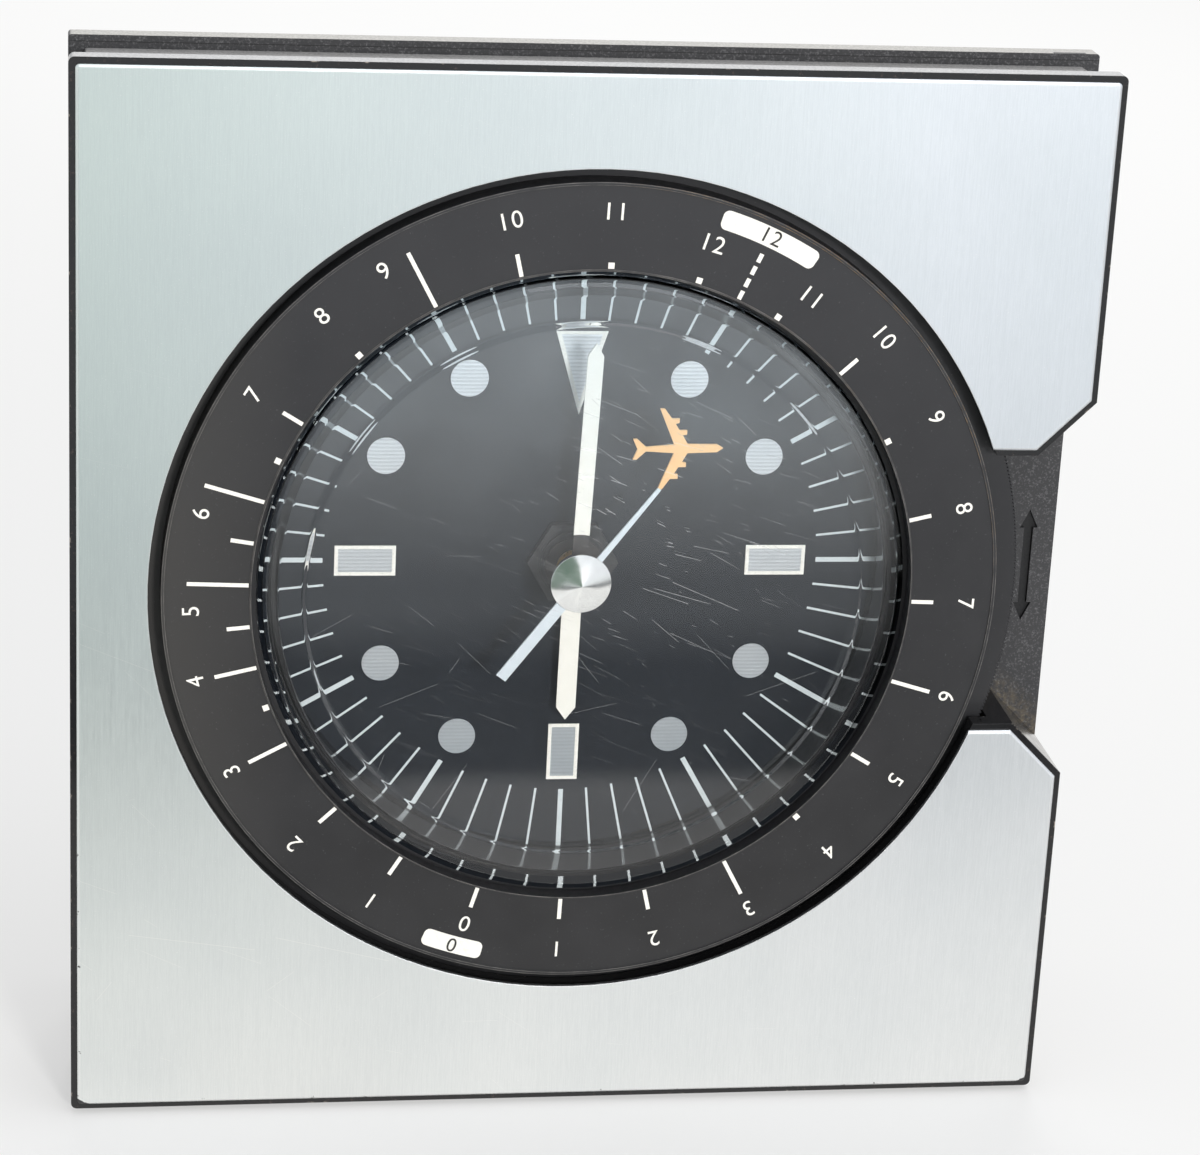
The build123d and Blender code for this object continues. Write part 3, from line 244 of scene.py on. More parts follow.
# What polished faces see of the floor: levels at shares of the way from RAMP_START to the clock.
# The low ones are the dark line at the end of the near part.
RAMP_START = -0.9
RAMP_FAR_COLOUR = (0.94, 0.97, 1.0, 1)
RAMP_LEVELS = ((0.45, 0.98), (0.62, 0.90), (0.73, 0.72), (0.765, 0.24), (0.825, 0.24))
RAMP_TINT = (0.97, 1.0, 1.01)
RAMP_EDGE = 0.835
RAMP_EDGE_COLOUR = (0.96, 0.95, 0.93, 1)
RAMP_NEAR_COLOUR = (1.0, 0.99, 0.97, 1)
# The green wedge on the floor lies between two slanting lines, from the dark line outwards
WEDGE_RIGHT_SLANT = 0.25
WEDGE_RIGHT = (0.03, 0.08)
WEDGE_LEFT_SLANT = 0.65
WEDGE_LEFT = (0.0, 0.06)
WEDGE_END = (-0.158, -0.148)
WEDGE_SHARE = 0.9

# Lamps: name, place, target, size, watts, colour, and whether polished faces see them
KEY_PLACE = (0.42, -1.75, 0.46)
KEY_SIZE = 0.25
KEY_COLOUR = (1.0, 0.985, 0.96)
CLOCK_MIDDLE = (0, 0, 0.08)
LAMPS = (
    ("key", KEY_PLACE, CLOCK_MIDDLE, KEY_SIZE, 19.0, KEY_COLOUR, False),
    ("glint", KEY_PLACE, CLOCK_MIDDLE, KEY_SIZE, 4.5, KEY_COLOUR, True),
    ("top", (0.35, -0.35, 1.3), CLOCK_MIDDLE, 0.9, 4.0, (0.97, 0.98, 1.0), True),
    ("back", (0.15, 1.0, 0.95), (0, 0, 0.12), 0.7, 7.0, (1.0, 0.99, 0.97), True),
)

# Camera, with the directions of its right, its top and its back
CAMERA_LENS = 106.32
CAMERA_SENSOR = 36.0
CAMERA_CLIP = (0.05, 50.0)
CAMERA_PLACE = (-0.075244, -0.509572, 0.261965)
CAMERA_AXES = (
    (0.98891, -0.14061, 0.04780),
    (0.00290, 0.34010, 0.94038),
    (-0.14848, -0.92982, 0.33674),
)


def spot(across, up, station):
    """Point in metres, from millimetres across and up from the hand axis and a station."""
    return Vector((across * MM, (FRONT_Y + station) * MM, (AXIS_Z + up) * MM))


def clock(radius, angle):
    """Across and up of a point at a radius and an angle clockwise from twelve."""
    turn = math.radians(angle)
    return radius * math.sin(turn), radius * math.cos(turn)


def srgb(red, green, blue):
    """Linear colour of a colour as it is seen on a screen, from 0 to 255."""
    levels = []
    for value in (red, green, blue):
        share = value / 255
        levels.append(share / 12.92 if share <= 0.04045 else ((share + 0.055) / 1.055) ** 2.4)
    return (*levels, 1.0)


def brighter(colour, factor, lift=0.0):
    """The colour times a factor, plus a lift, and no brighter than white."""
    return (*(min(1.0, part * factor + lift) for part in colour[:3]), 1.0)


def add(tree, kind, inputs=(), **settings):
    """New shader node with its settings and its inputs, given as values or as sockets."""
    made = tree.nodes.new("ShaderNode" + kind)
    for name, value in settings.items():
        setattr(made, name, value)
    for key, value in dict(inputs).items():
        if isinstance(value, bpy.types.NodeSocket):
            tree.links.new(value, made.inputs[key])
        else:
            made.inputs[key].default_value = value
    return made


class Nodes:
    """Helpers that add nodes to one tree. Each value is a number or another node's socket."""

    def __init__(self, tree):
        self.tree = tree

    def maths(self, operation, first, second=0.0):
        inputs = {0: first, 1: second}
        return add(self.tree, "Math", inputs, operation=operation).outputs[0]

    def times(self, first, *others):
        for other in others:
            first = self.maths("MULTIPLY", first, other)
        return first

    def plus(self, first, second):
        return self.maths("ADD", first, second)

    def minus(self, first, second):
        return self.maths("SUBTRACT", first, second)

    def greatest(self, first, *others):
        for other in others:
            first = self.maths("MAXIMUM", first, other)
        return first

    def fade(self, value, low, high, to_low=0.0, to_high=1.0):
        """Maps low..high to a range of its own, and stays inside it."""
        ends = {"From Min": low, "From Max": high, "To Min": to_low, "To Max": to_high}
        return add(self.tree, "MapRange", {"Value": value, **ends}, clamp=True).outputs[0]

    def mix(self, share, first, second):
        """Colour between first and second."""
        inputs = {0: share, 6: first, 7: second}
        return add(self.tree, "Mix", inputs, data_type="RGBA").outputs[2]

    def split(self, vector):
        """X, Y and Z of a vector."""
        return add(self.tree, "SeparateXYZ", {"Vector": vector}).outputs

    def vectors(self, operation, first, second=(0, 0, 0)):
        """Outputs of a vector operation: the vector, then the value."""
        inputs = {0: first, 1: second}
        return add(self.tree, "VectorMath", inputs, operation=operation).outputs

    def rays(self):
        """1 for rays from the camera, and 1 for rays off or through polished surfaces."""
        path = add(self.tree, "LightPath").outputs
        shiny = self.greatest(path["Is Glossy Ray"], path["Is Transmission Ray"])
        return path["Is Camera Ray"], shiny


class Finish(Nodes):
    """A material: a Principled shader with helpers that build its textures in object space."""

    def __init__(self, name, **sockets):
        self.material = bpy.data.materials.new(name)
        self.material.use_nodes = True
        super().__init__(self.material.node_tree)
        self.shader = self.tree.nodes["Principled BSDF"]
        self.coords = add(self.tree, "TexCoord").outputs["Object"]
        for key, value in sockets.items():
            self.shader.inputs[key.replace("_", " ")].default_value = value

    def drive(self, key, value):
        """Links a value to a socket of the shader."""
        self.tree.links.new(value, self.shader.inputs[key])

    def colour(self, value):
        self.drive("Base Color", value)

    def rough(self, value, low, high, start=NOISE_LOW, end=NOISE_HIGH):
        """Roughness from low to high, as the value goes from start to end."""
        self.drive("Roughness", self.fade(value, start, end, low, high))

    def relief(self, height, depth, round_edge=0.0):
        """Bump of that depth in millimetres, on edges rounded by the bevel."""
        inputs = {"Height": height, "Distance": depth * MM, "Strength": 1.0}
        if round_edge:
            inputs["Normal"] = self.bevelled(round_edge)
        self.drive("Normal", add(self.tree, "Bump", inputs).outputs[0])

    def bevelled(self, width):
        """Normal as if the edges were rounded over a width in millimetres."""
        inputs = {"Radius": width * MM}
        return add(self.tree, "Bevel", inputs, samples=BEVEL_SAMPLES).outputs[0]

    def edges(self, width):
        """1 on edges and 0 on flats, from the difference of the bevelled normal."""
        plain = add(self.tree, "NewGeometry").outputs["Normal"]
        dot = self.vectors("DOT_PRODUCT", self.bevelled(width), plain)["Value"]
        return self.fade(dot, EDGE_START, EDGE_FULL)

    def mapped(self, scale):
        """Object coordinates in millimetres, stretched by a scale for each axis."""
        scaled = [size / MM for size in scale]
        return add(self.tree, "Mapping", {"Vector": self.coords, "Scale": scaled}).outputs[0]

    def noise(self, scale, detail, rough=0.5):
        """Noise from 0 to 1. scale is one over its grain in millimetres, for each axis."""
        if isinstance(scale, (int, float)):
            scale = (scale, scale, scale)
        grain = {"Scale": 1.0, "Detail": detail, "Roughness": rough}
        return add(self.tree, "TexNoise", {"Vector": self.mapped(scale), **grain}).outputs["Fac"]

    def place(self):
        """Across, station and up as three values in millimetres from the hand axis."""
        parts = self.split(self.coords)
        across = self.maths("DIVIDE", parts[0], MM)
        station = self.minus(self.maths("DIVIDE", parts[1], MM), FRONT_Y)
        up = self.minus(self.maths("DIVIDE", parts[2], MM), AXIS_Z)
        return across, station, up

    def length(self, across, up):
        return self.maths("SQRT", self.plus(self.times(across, across), self.times(up, up)))

    def radius(self):
        """Distance from the hand axis in millimetres."""
        across, _, up = self.place()
        return self.length(across, up)

    def around(self, across, up, reach):
        """Distance from a place on the dial as a share of a reach."""
        here_across, _, here_up = self.place()
        away = self.length(self.minus(here_across, across), self.minus(here_up, up))
        return self.maths("DIVIDE", away, reach)

    def band(self, value, middle, half):
        """1 where a value is within half of the middle, soft at both ends."""
        away = self.maths("ABSOLUTE", self.minus(value, middle))
        return self.fade(away, half, half * BAND_CORE)

    def settled(self):
        """1 on the level faces along the top of the front, where the painted sheen lies, less on
        the slope.
        """
        normal = add(self.tree, "TexCoord").outputs["Normal"]
        level = self.split(normal)[2]
        _, station, up = self.place()
        return self.times(
            self.fade(level, *TOP_SHEEN_LEVEL),
            self.fade(up, *TOP_SHEEN_UP),
            self.fade(station, *TOP_SHEEN_STATION, TOP_SHEEN_ON_SLOPE, 1.0),
        )

    def hairlines(self, cell, width, slant, spread, share, length):
        """Thin straight scratches, at most one in each cell of about that size in millimetres."""
        across, _, up = self.place()
        inputs = {
            "X": self.maths("DIVIDE", across, cell),
            "Y": self.maths("DIVIDE", up, cell),
            "Z": 0.0,
        }
        flat = add(self.tree, "CombineXYZ", inputs).outputs[0]
        inputs = {"Vector": flat, "Scale": 1.0}
        cells = add(self.tree, "TexVoronoi", inputs, voronoi_dimensions="2D").outputs
        away = self.split(self.vectors("SUBTRACT", flat, cells["Position"])[0])
        chance = add(self.tree, "SeparateColor", {"Color": cells["Color"]}).outputs
        turn = self.fade(chance[0], 0.0, 1.0, slant - spread / 2, slant + spread / 2)
        sine = self.maths("SINE", turn)
        cosine = self.maths("COSINE", turn)
        off = self.minus(self.times(away[0], sine), self.times(away[1], cosine))
        along = self.plus(self.times(away[0], cosine), self.times(away[1], sine))
        half = width / 2 / cell
        ends = self.times(chance[1], length)
        return self.times(
            self.fade(self.maths("ABSOLUTE", off), half, half * HAIRLINE_CORE),
            self.maths("LESS_THAN", self.maths("ABSOLUTE", along), ends),
            self.maths("LESS_THAN", chance[2], share),
        )

    def scratches(self, rows):
        """Several sets of hairlines."""
        return self.greatest(*[self.hairlines(*row) for row in rows])


def moulded(name, colour, spread, roughness, grain, depth):
    """Moulded plastic: slight cloudiness, a fine grain in the surface and paler edges."""
    edge = 0.15
    made = Finish(name)
    pale = brighter(colour, 1 + spread, 0.004)
    cloud = made.noise(0.12, 4.0, 0.6)
    speck = made.fade(made.noise(grain, 2.0, 0.6), 0.45, 0.75)
    base = made.mix(made.times(cloud, 0.5), colour, pale)
    base = made.mix(made.times(speck, 0.5), base, pale)
    base = made.mix(made.times(made.edges(edge), 0.35), base, pale)
    made.colour(base)
    made.rough(made.noise(grain / 2, 3.0), roughness - 0.06, roughness + 0.08)
    made.relief(made.noise(grain, 3.0, 0.6), depth, edge)
    return made.material


def brushed(name, colour, darker, roughness, stretch, depth):
    """Metal with a drawn grain and bright edges."""
    edge = 0.1
    made = Finish(name, Metallic=1.0)
    line = made.noise(stretch, 3.0, 0.6)
    stain = made.noise(0.15, 4.0, 0.6)
    share = made.times(made.plus(line, stain), 0.5)
    base = made.mix(made.fade(share, 0.35, 0.65), darker, colour)
    base = made.mix(made.times(made.edges(edge), 0.6), base, brighter(colour, 1.15))
    made.colour(base)
    made.rough(line, roughness - 0.06, roughness + 0.1)
    made.relief(line, depth, edge)
    return made.material


def painted(name, colour, other, roughness, metallic):
    """Paint on thin metal, a little uneven, with brighter edges."""
    made = Finish(name, Metallic=metallic)
    base = made.mix(made.noise(0.6, 3.0, 0.6), colour, other)
    made.colour(made.mix(made.times(made.edges(0.1), 0.5), base, brighter(colour, 1.2, 0.02)))
    made.rough(made.noise(2.0, 2.0), roughness - 0.05, roughness + 0.07)
    made.relief(made.noise(4.0, 2.0), 0.005, 0.05)
    return made.material


def printed(name, colour, faded):
    """Printed ink: slightly uneven, thin in places."""
    made = Finish(name)
    patch = made.fade(made.noise(1.6, 4.0, 0.7), 0.52, 0.80)
    made.colour(made.mix(made.times(patch, 0.6), colour, faded))
    made.rough(made.noise(2.0, 2.0), 0.45, 0.62)
    made.relief(made.noise(6.0, 2.0), 0.006)
    return made.material


def fascia_finish():
    """Brushed plate: a painted reflection in its tone, fine upright grain, small sparkles,
    scratches and worn black edges.
    """
    made = Finish("fascia_metal", Metallic=1.0)
    across, _, up = made.place()
    # Painted reflection: greenish on the left, bluish on the right, paler and neutral low down.
    # Darker in clouds and lines.
    drawn = made.noise((5.0, 0.4, 0.10), 3.0, 0.6)
    fine = made.noise((11.0, 1.0, 0.6), 2.0)
    line = made.times(made.plus(drawn, fine), 0.5)
    cloud = made.noise(0.03, 3.0)
    side = made.fade(across, -75.0, 50.0)
    tone = made.mix(side, srgb(224, 234, 231), srgb(236, 240, 245))
    tone = made.mix(made.fade(up, 10.0, -80.0, 0.0, 0.8), tone, srgb(240, 241, 240))
    tone = made.mix(made.fade(cloud, 0.35, 0.7, 0.0, 0.25), tone, srgb(206, 214, 217))
    tone = made.mix(made.fade(line, 0.40, 0.60, 0.10, 0.0), tone, srgb(160, 168, 172))
    speck = made.fade(made.noise(4.5, 1.0), 0.66, 0.76)
    tone = made.mix(made.times(speck, 0.5), tone, srgb(255, 255, 255))
    tone = made.mix(made.times(made.edges(0.4), 0.8), tone, srgb(255, 255, 254))
    # Pale hairline scratches, most of them low on the left
    low_left = made.times(
        made.fade(across, 60.0, -30.0, 0.25, 1.0), made.fade(up, 40.0, -45.0, 0.2, 1.0)
    )
    marks = made.times(made.scratches(PLATE_SCRATCHES), low_left)
    tone = made.mix(made.times(marks, 0.6), tone, srgb(255, 255, 252))
    # Black where the left and lower edges are chipped, and at the two lower corners
    edge = made.greatest(
        made.fade(across, CHIP_START - PLATE_HALF, CHIP_FULL - PLATE_HALF),
        made.fade(up, CHIP_START - PLATE_DOWN, CHIP_FULL - PLATE_DOWN),
    )
    edge = made.times(edge, made.fade(up, -30.0, -45.0))
    chips = made.times(made.fade(made.noise(0.45, 4.0, 0.75), 0.65, 0.67), edge)
    rise = made.plus(up, PLATE_DOWN)
    left = made.maths("DIVIDE", made.plus(across, PLATE_HALF), LEFT_CORNER_CHIP)
    right = made.maths("DIVIDE", made.minus(PLATE_HALF, across), RIGHT_CORNER_CHIP)
    ragged = made.fade(made.noise(1.5, 3.0, 0.7), NOISE_LOW, NOISE_HIGH, 0.8, 1.2)
    for way in (left, right):
        chips = made.greatest(chips, made.maths("LESS_THAN", made.plus(way, rise), ragged))
    made.colour(made.mix(chips, tone, srgb(40, 40, 42)))
    made.drive("Metallic", made.fade(chips, 0.0, 1.0, 1.0, 0.0))
    made.rough(line, 0.34, 0.44, 0.35, 0.65)
    made.relief(line, 0.004, 0.25)
    return made.material


def frame_finish():
    """Polished black moulding: pale nicks on its edges, faint wipes, and a painted sheen on what
    faces up.
    """
    made = Finish("frame_black", IOR=1.42, Coat_Weight=0.2, Coat_Roughness=0.08)
    dust = made.fade(made.noise(1.4, 4.0, 0.7), 0.60, 0.75)
    cloud = made.noise(0.08, 3.0)
    base = made.mix(cloud, srgb(16, 16, 18), srgb(26, 26, 28))
    base = made.mix(made.times(dust, 0.3), base, srgb(110, 92, 84))
    nick = made.fade(made.noise(0.45, 3.0, 0.7), 0.62, 0.68)
    base = made.mix(made.times(nick, made.edges(0.4)), base, srgb(190, 180, 168))
    # Painted sheen: pale on the level faces along the top
    thin = made.fade(made.noise(2.4, 4.0, 0.7), 0.35, 0.65, 0.5, 0.8)
    made.colour(made.mix(made.times(made.settled(), thin), base, srgb(224, 222, 220)))
    made.rough(made.noise(0.3, 4.0, 0.7), 0.10, 0.28, 0.3, 0.8)
    made.relief(made.noise(0.7, 3.0, 0.6), 0.006, 0.2)
    return made.material


def ring_finish():
    """Satin black ring with painted shade low down and a painted sheen on the left. Its lips have
    painted highlights: thin pale lines, tan near the upper right.
    """
    made = Finish("ring_black")
    radius = made.radius()
    across, station, up = made.place()
    # Painted shade, darker low down, and a painted sheen, browner on the left, with clouds and
    # specks
    base = made.mix(made.fade(up, -50.0, 50.0), srgb(26, 26, 28), srgb(40, 40, 43))
    base = made.mix(made.fade(across, -42.0, -60.0, 0.0, 0.6), base, srgb(66, 64, 61))
    cloud = made.fade(made.noise(0.1, 4.0, 0.6), NOISE_LOW, NOISE_HIGH, 0.0, 0.3)
    base = made.mix(cloud, base, srgb(52, 52, 54))
    speck = made.fade(made.noise(2.6, 2.0, 0.6), 0.68, 0.78)
    base = made.mix(made.times(speck, 0.25), base, srgb(120, 120, 122))
    # Painted highlights on the lips' rounded edges
    lips = made.times(
        made.greatest(*[made.band(radius, middle, half) for middle, half in LIP_HIGHLIGHT_LINES]),
        made.fade(station, 0.9, 0.6),
        made.fade(made.noise(0.35, 5.0, 0.8), 0.35, 0.62, 0.1, 0.7),
    )
    tan = made.fade(made.plus(across, up), 62.0, 84.0)
    tan = made.times(tan, made.fade(made.noise(0.5, 4.0, 0.7), 0.45, 0.55))
    lip_highlight_tone = made.mix(tan, srgb(124, 121, 117), srgb(156, 128, 92))
    made.colour(made.mix(lips, base, lip_highlight_tone))
    made.rough(made.noise(0.8, 3.0), 0.36, 0.48)
    made.relief(made.noise(3.0, 3.0, 0.6), 0.003)
    return made.material


def crystal_finish():
    """Clear moulded plastic with a painted bluish sky reflection near the top and many fine
    hairlines.
    """
    made = Finish("crystal_clear", IOR=1.49, Transmission_Weight=1.0, Specular_IOR_Level=0.12)
    _, station, up = made.place()
    # Hairlines on the face, thick in one place and few elsewhere
    near = made.times(
        made.fade(made.around(*SCRATCHED_PLACE), 1.0, 0.2, 0.08, 1.0),
        made.fade(made.noise(0.12, 2.0), 0.35, 0.6, 0.3, 1.0),
    )
    marks = made.greatest(
        made.times(made.scratches(CRYSTAL_SCRATCHES), near),
        made.times(made.scratches(STRAY_SCRATCHES), 0.35),
    )
    marks = made.times(marks, made.fade(made.radius(), *SCRATCHED_RADIUS))
    # The painted sky reflection and the hairlines hide what lies behind them, on the front alone
    haze = made.fade(made.noise(0.05, 3.0), NOISE_LOW, NOISE_HIGH, 0.6, 1.3)
    sky_sheen = made.times(made.fade(up, *SKY_SHEEN_UP, 0.0, SKY_SHEEN_SHARE), haze)
    sheen_and_scratches = made.plus(sky_sheen, made.times(marks, 0.7))
    # Bluish where the painted sky reflection lies
    made.colour(made.mix(made.fade(sky_sheen, 0.0, 0.1), (0.98, 0.99, 1.0, 1), (0.88, 0.95, 1.0, 1)))
    front = made.fade(station, *SKY_SHEEN_STATION)
    made.drive("Transmission Weight", made.minus(1.0, made.times(sheen_and_scratches, front)))
    made.rough(marks, 0.0, 0.3, 0.0, 1.0)
    return made.material


def dial_finish():
    """Charcoal paint under a little dust."""
    made = Finish("dial_grey", IOR=1.3)
    base = made.mix(made.noise(0.05, 3.0), srgb(22, 26, 32), srgb(30, 35, 42))
    speck = made.fade(made.noise(1.8, 2.0, 0.6), 0.70, 0.80)
    made.colour(made.mix(made.times(speck, 0.3), base, srgb(110, 114, 120)))
    made.rough(made.noise(0.1, 3.0), 0.28, 0.34)
    return made.material


def mark_finish():
    """Silver of the hour marks, drawn with fine level lines, with a painted reflection paler
    towards the top.
    """
    made = Finish("mark_silver", Metallic=0.8)
    _, _, up = made.place()
    wave = made.maths("SINE", made.times(up, 11.0))
    # Painted reflection: paler towards the top of the dial
    base = made.mix(made.fade(up, -32.0, 32.0), srgb(182, 188, 192), srgb(255, 255, 255))
    base = made.mix(made.times(made.noise(0.3, 3.0), 0.4), base, srgb(206, 212, 216))
    lines = made.fade(wave, -0.2, 0.9)
    made.colour(made.mix(made.times(lines, 0.35), base, srgb(168, 174, 177)))
    made.rough(made.noise(2.0, 2.0), 0.35, 0.5)
    made.relief(wave, 0.006, 0.05)
    return made.material


def hand_finish():
    """Warm white paint of the two batons, and black round the hub."""
    made = Finish("hand_white")
    base = made.mix(made.noise(0.4, 3.0), srgb(243, 241, 233), srgb(236, 233, 223))
    base = made.mix(made.times(made.edges(0.12), 0.3), base, srgb(250, 249, 244))
    hub = made.fade(made.radius(), HAND_HUB_RADIUS, HAND_HUB_RADIUS - 0.05)
    dark = made.mix(made.noise(1.5, 3.0, 0.7), srgb(34, 33, 33), srgb(78, 74, 72))
    made.colour(made.mix(hub, base, dark))
    made.rough(made.noise(2.0, 2.0), 0.34, 0.46)
    made.relief(made.noise(3.0, 2.0), 0.003, 0.06)
    return made.material


def cap_finish():
    """Polished cone with the fine rings that the lathe leaves."""
    made = Finish("cap_chrome", Metallic=1.0, Anisotropic=0.7)
    rings = made.maths("SINE", made.times(made.radius(), 40.0))
    made.colour(made.mix(made.noise(0.8, 3.0), srgb(248, 247, 244), srgb(255, 255, 252)))
    made.rough(made.noise(1.5, 3.0, 0.7), 0.08, 0.15)
    made.relief(rings, 0.0004)
    lay = add(made.tree, "Tangent", direction_type="RADIAL", axis="Y").outputs[0]
    made.drive("Tangent", lay)
    return made.material


def case_finish():
    """Matt charcoal case: sparkling grain, a seam round the lip, a black arrow, dust, and a
    painted sheen on the level top.
    """
    made = Finish("case_grey")
    across, station, up = made.place()
    pebble = made.noise(3.0, 3.0, 0.7)
    base = made.mix(made.noise(0.08, 4.0, 0.6), srgb(46, 46, 48), srgb(60, 60, 62))
    base = made.mix(made.fade(pebble, 0.52, 0.70, 0.0, 0.7), base, srgb(116, 116, 118))
    # Seam below the top
    front = made.fade(station, WALL_FRONT + 0.08, WALL_FRONT + 0.04)
    seam = made.times(made.band(up, CASE_TOP - CASE_SEAM_DROP, CASE_SEAM_HALF), front)
    base = made.mix(made.times(seam, 0.8), base, srgb(24, 24, 25))
    # Tan dust in the lower corner of the notch, and a pale painted sheen on the level top
    slant = made.plus(up, made.times(across, 0.9))
    dust = made.times(
        made.fade(made.noise(1.4, 4.0, 0.75), 0.40, 0.65),
        made.fade(slant, 44.0, 38.0),
        made.fade(up, -14.0, -21.0),
        made.fade(station, WALL_FRONT + 1.2, WALL_FRONT + 0.6),
    )
    base = made.mix(made.times(dust, 0.5), base, srgb(132, 118, 92))
    top_sheen_patches = made.fade(made.noise(2.4, 4.0, 0.7), 0.35, 0.65, 0.45, 0.75)
    base = made.mix(made.times(made.settled(), top_sheen_patches), base, srgb(222, 219, 212))
    # Black inside the arrow, which is let into the wall
    arrow_recess = made.times(
        made.minus(1.0, front),
        made.fade(across, ARROW_LEFT, ARROW_LEFT + 0.1),
        made.fade(station, WALL_FRONT + ARROW_DEPTH, WALL_FRONT + ARROW_DEPTH - 0.1),
        made.fade(across, ARROW_RIGHT, ARROW_RIGHT - 0.1),
    )
    made.colour(made.mix(arrow_recess, base, srgb(26, 26, 28)))
    made.rough(pebble, 0.5, 0.7)
    made.relief(pebble, 0.02, 0.15)
    return made.material


def jacket_finish():
    """Battery: printed jacket with a dark and a copper band and bare metal ends."""
    made = Finish("battery_jacket", Metallic=0.8)
    across, _, _ = made.place()
    base = made.mix(made.noise(0.3, 3.0), srgb(52, 56, 62), srgb(66, 70, 78))
    copper = made.fade(across, BATTERY_BAND, BATTERY_BAND + 0.1)
    base = made.mix(copper, base, srgb(176, 120, 78))
    ends = made.greatest(
        made.fade(across, BATTERY_END, BATTERY_END + 0.1),
        made.fade(across, -BATTERY_END, -BATTERY_END - 0.1),
    )
    made.colour(made.mix(ends, base, srgb(190, 188, 182)))
    made.rough(made.noise(1.0, 3.0), 0.25, 0.38)
    made.relief(made.noise(2.0, 2.0), 0.006, 0.3)
    return made.material


def wound_finish():
    """Enamelled copper wire, wound in close turns."""
    made = Finish("copper_wire", Metallic=0.7)
    across, _, up = made.place()
    turns = made.maths("SINE", made.plus(made.times(across, 38.0), up))
    made.colour(made.mix(made.fade(turns, -1.0, 0.4), srgb(96, 42, 22), srgb(206, 112, 62)))
    made.rough(made.noise(1.5, 2.0), 0.28, 0.4)
    made.relief(turns, 0.03)
    return made.material


def board_finish():
    """Green circuit board with pale tracks under its lacquer."""
    made = Finish("board_green", Coat_Weight=0.4, Coat_Roughness=0.2)
    cells = add(
        made.tree,
        "TexVoronoi",
        {"Vector": made.mapped((0.5, 0.5, 0.5)), "Scale": 1.0},
        feature="DISTANCE_TO_EDGE",
        distance="MANHATTAN",
    ).outputs[0]
    tracks = made.fade(cells, 0.10, 0.06)
    base = made.mix(made.noise(0.6, 3.0), srgb(22, 78, 44), srgb(30, 96, 54))
    made.colour(made.mix(made.times(tracks, 0.6), base, srgb(76, 140, 84)))
    made.rough(made.noise(1.5, 2.0), 0.35, 0.5)
    made.relief(tracks, 0.02)
    return made.material


# Moulded plastics: colour, how much paler the pale parts are, roughness, one over the grain's
# size, the grain's depth
MOULDED = {
    "bezel_black": (srgb(36, 36, 38), 0.5, 0.42, 2.0, 0.01),
    "movement_plastic": (srgb(46, 46, 47), 0.6, 0.5, 1.6, 0.012),
    "chip_black": (srgb(30, 30, 31), 0.5, 0.5, 3.0, 0.008),
    "foot_rubber": (srgb(34, 34, 35), 0.5, 0.75, 2.0, 0.02),
    "washer_felt": (srgb(70, 70, 70), 0.8, 0.9, 3.5, 0.06),
}
# Drawn metals: colour, darker colour, roughness, one over the grain's size, the grain's depth
BRUSHED = {
    "gear_brass": ((0.80, 0.58, 0.27, 1), (0.62, 0.43, 0.18, 1), 0.3, (3, 3, 3), 0.004),
    "magnet_dark": ((0.20, 0.20, 0.21, 1), (0.12, 0.12, 0.13, 1), 0.42, (2, 6, 2), 0.006),
    "soft_iron": ((0.56, 0.56, 0.56, 1), (0.42, 0.42, 0.42, 1), 0.4, (0.4, 4, 5), 0.006),
    "can_metal": ((0.64, 0.64, 0.62, 1), (0.52, 0.52, 0.50, 1), 0.28, (5, 5, 0.4), 0.004),
    "screw_steel": ((0.60, 0.60, 0.59, 1), (0.46, 0.46, 0.45, 1), 0.34, (3, 6, 3), 0.004),
    "contact_steel": ((0.70, 0.70, 0.66, 1), (0.58, 0.58, 0.54, 1), 0.32, (4, 4, 0.5), 0.005),
}
# Paints: colour, second colour, roughness, and how metallic
PAINTED = {
    "airliner_orange": (srgb(252, 204, 146), srgb(246, 190, 126), 0.4, 0.0),
    "hand_silver": (srgb(226, 234, 239), srgb(212, 221, 227), 0.36, 0.2),
    "nut_black": (srgb(44, 44, 45), srgb(54, 54, 55), 0.4, 0.0),
}
FINISHES = {
    "fascia_metal": fascia_finish(),
    "frame_black": frame_finish(),
    "ring_black": ring_finish(),
    "crystal_clear": crystal_finish(),
    "dial_grey": dial_finish(),
    "mark_silver": mark_finish(),
    "hand_white": hand_finish(),
    "cap_chrome": cap_finish(),
    "case_grey": case_finish(),
    "battery_jacket": jacket_finish(),
    "copper_wire": wound_finish(),
    "board_green": board_finish(),
    **{name: moulded(name, *row) for name, row in MOULDED.items()},
    **{name: brushed(name, *row) for name, row in BRUSHED.items()},
    **{name: painted(name, *row) for name, row in PAINTED.items()},
}
PRINT_WHITE = printed("print_white", srgb(240, 238, 230), srgb(196, 192, 182))
DIAL_WHITE = printed("dial_print_pale", srgb(206, 214, 216), srgb(168, 176, 178))
PRINT_BLACK = printed("print_black", srgb(44, 43, 42), srgb(74, 72, 70))

SLOT_OF_NODE = {
    part["node"]: part["material_slot"]
    for part in frame["record"]["subparts"]
}
for node, piece in frame["nodes"].items():
    piece.data.materials.clear()
    piece.data.materials.append(FINISHES[SLOT_OF_NODE[node]])


def in_scene(name, data):
    """New object of a mesh, a curve, a light or a camera."""
    made = bpy.data.objects.new(name, data)
    bpy.context.scene.collection.objects.link(made)
    return made


def fitted(name, mesh, body, slot, ink):
    """New piece of a mesh, on its body, in the finish of its material slot or in an ink."""
    piece = in_scene(name, mesh)
    mesh.materials.append(ink or FINISHES[slot])
    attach(piece, body)
    return piece


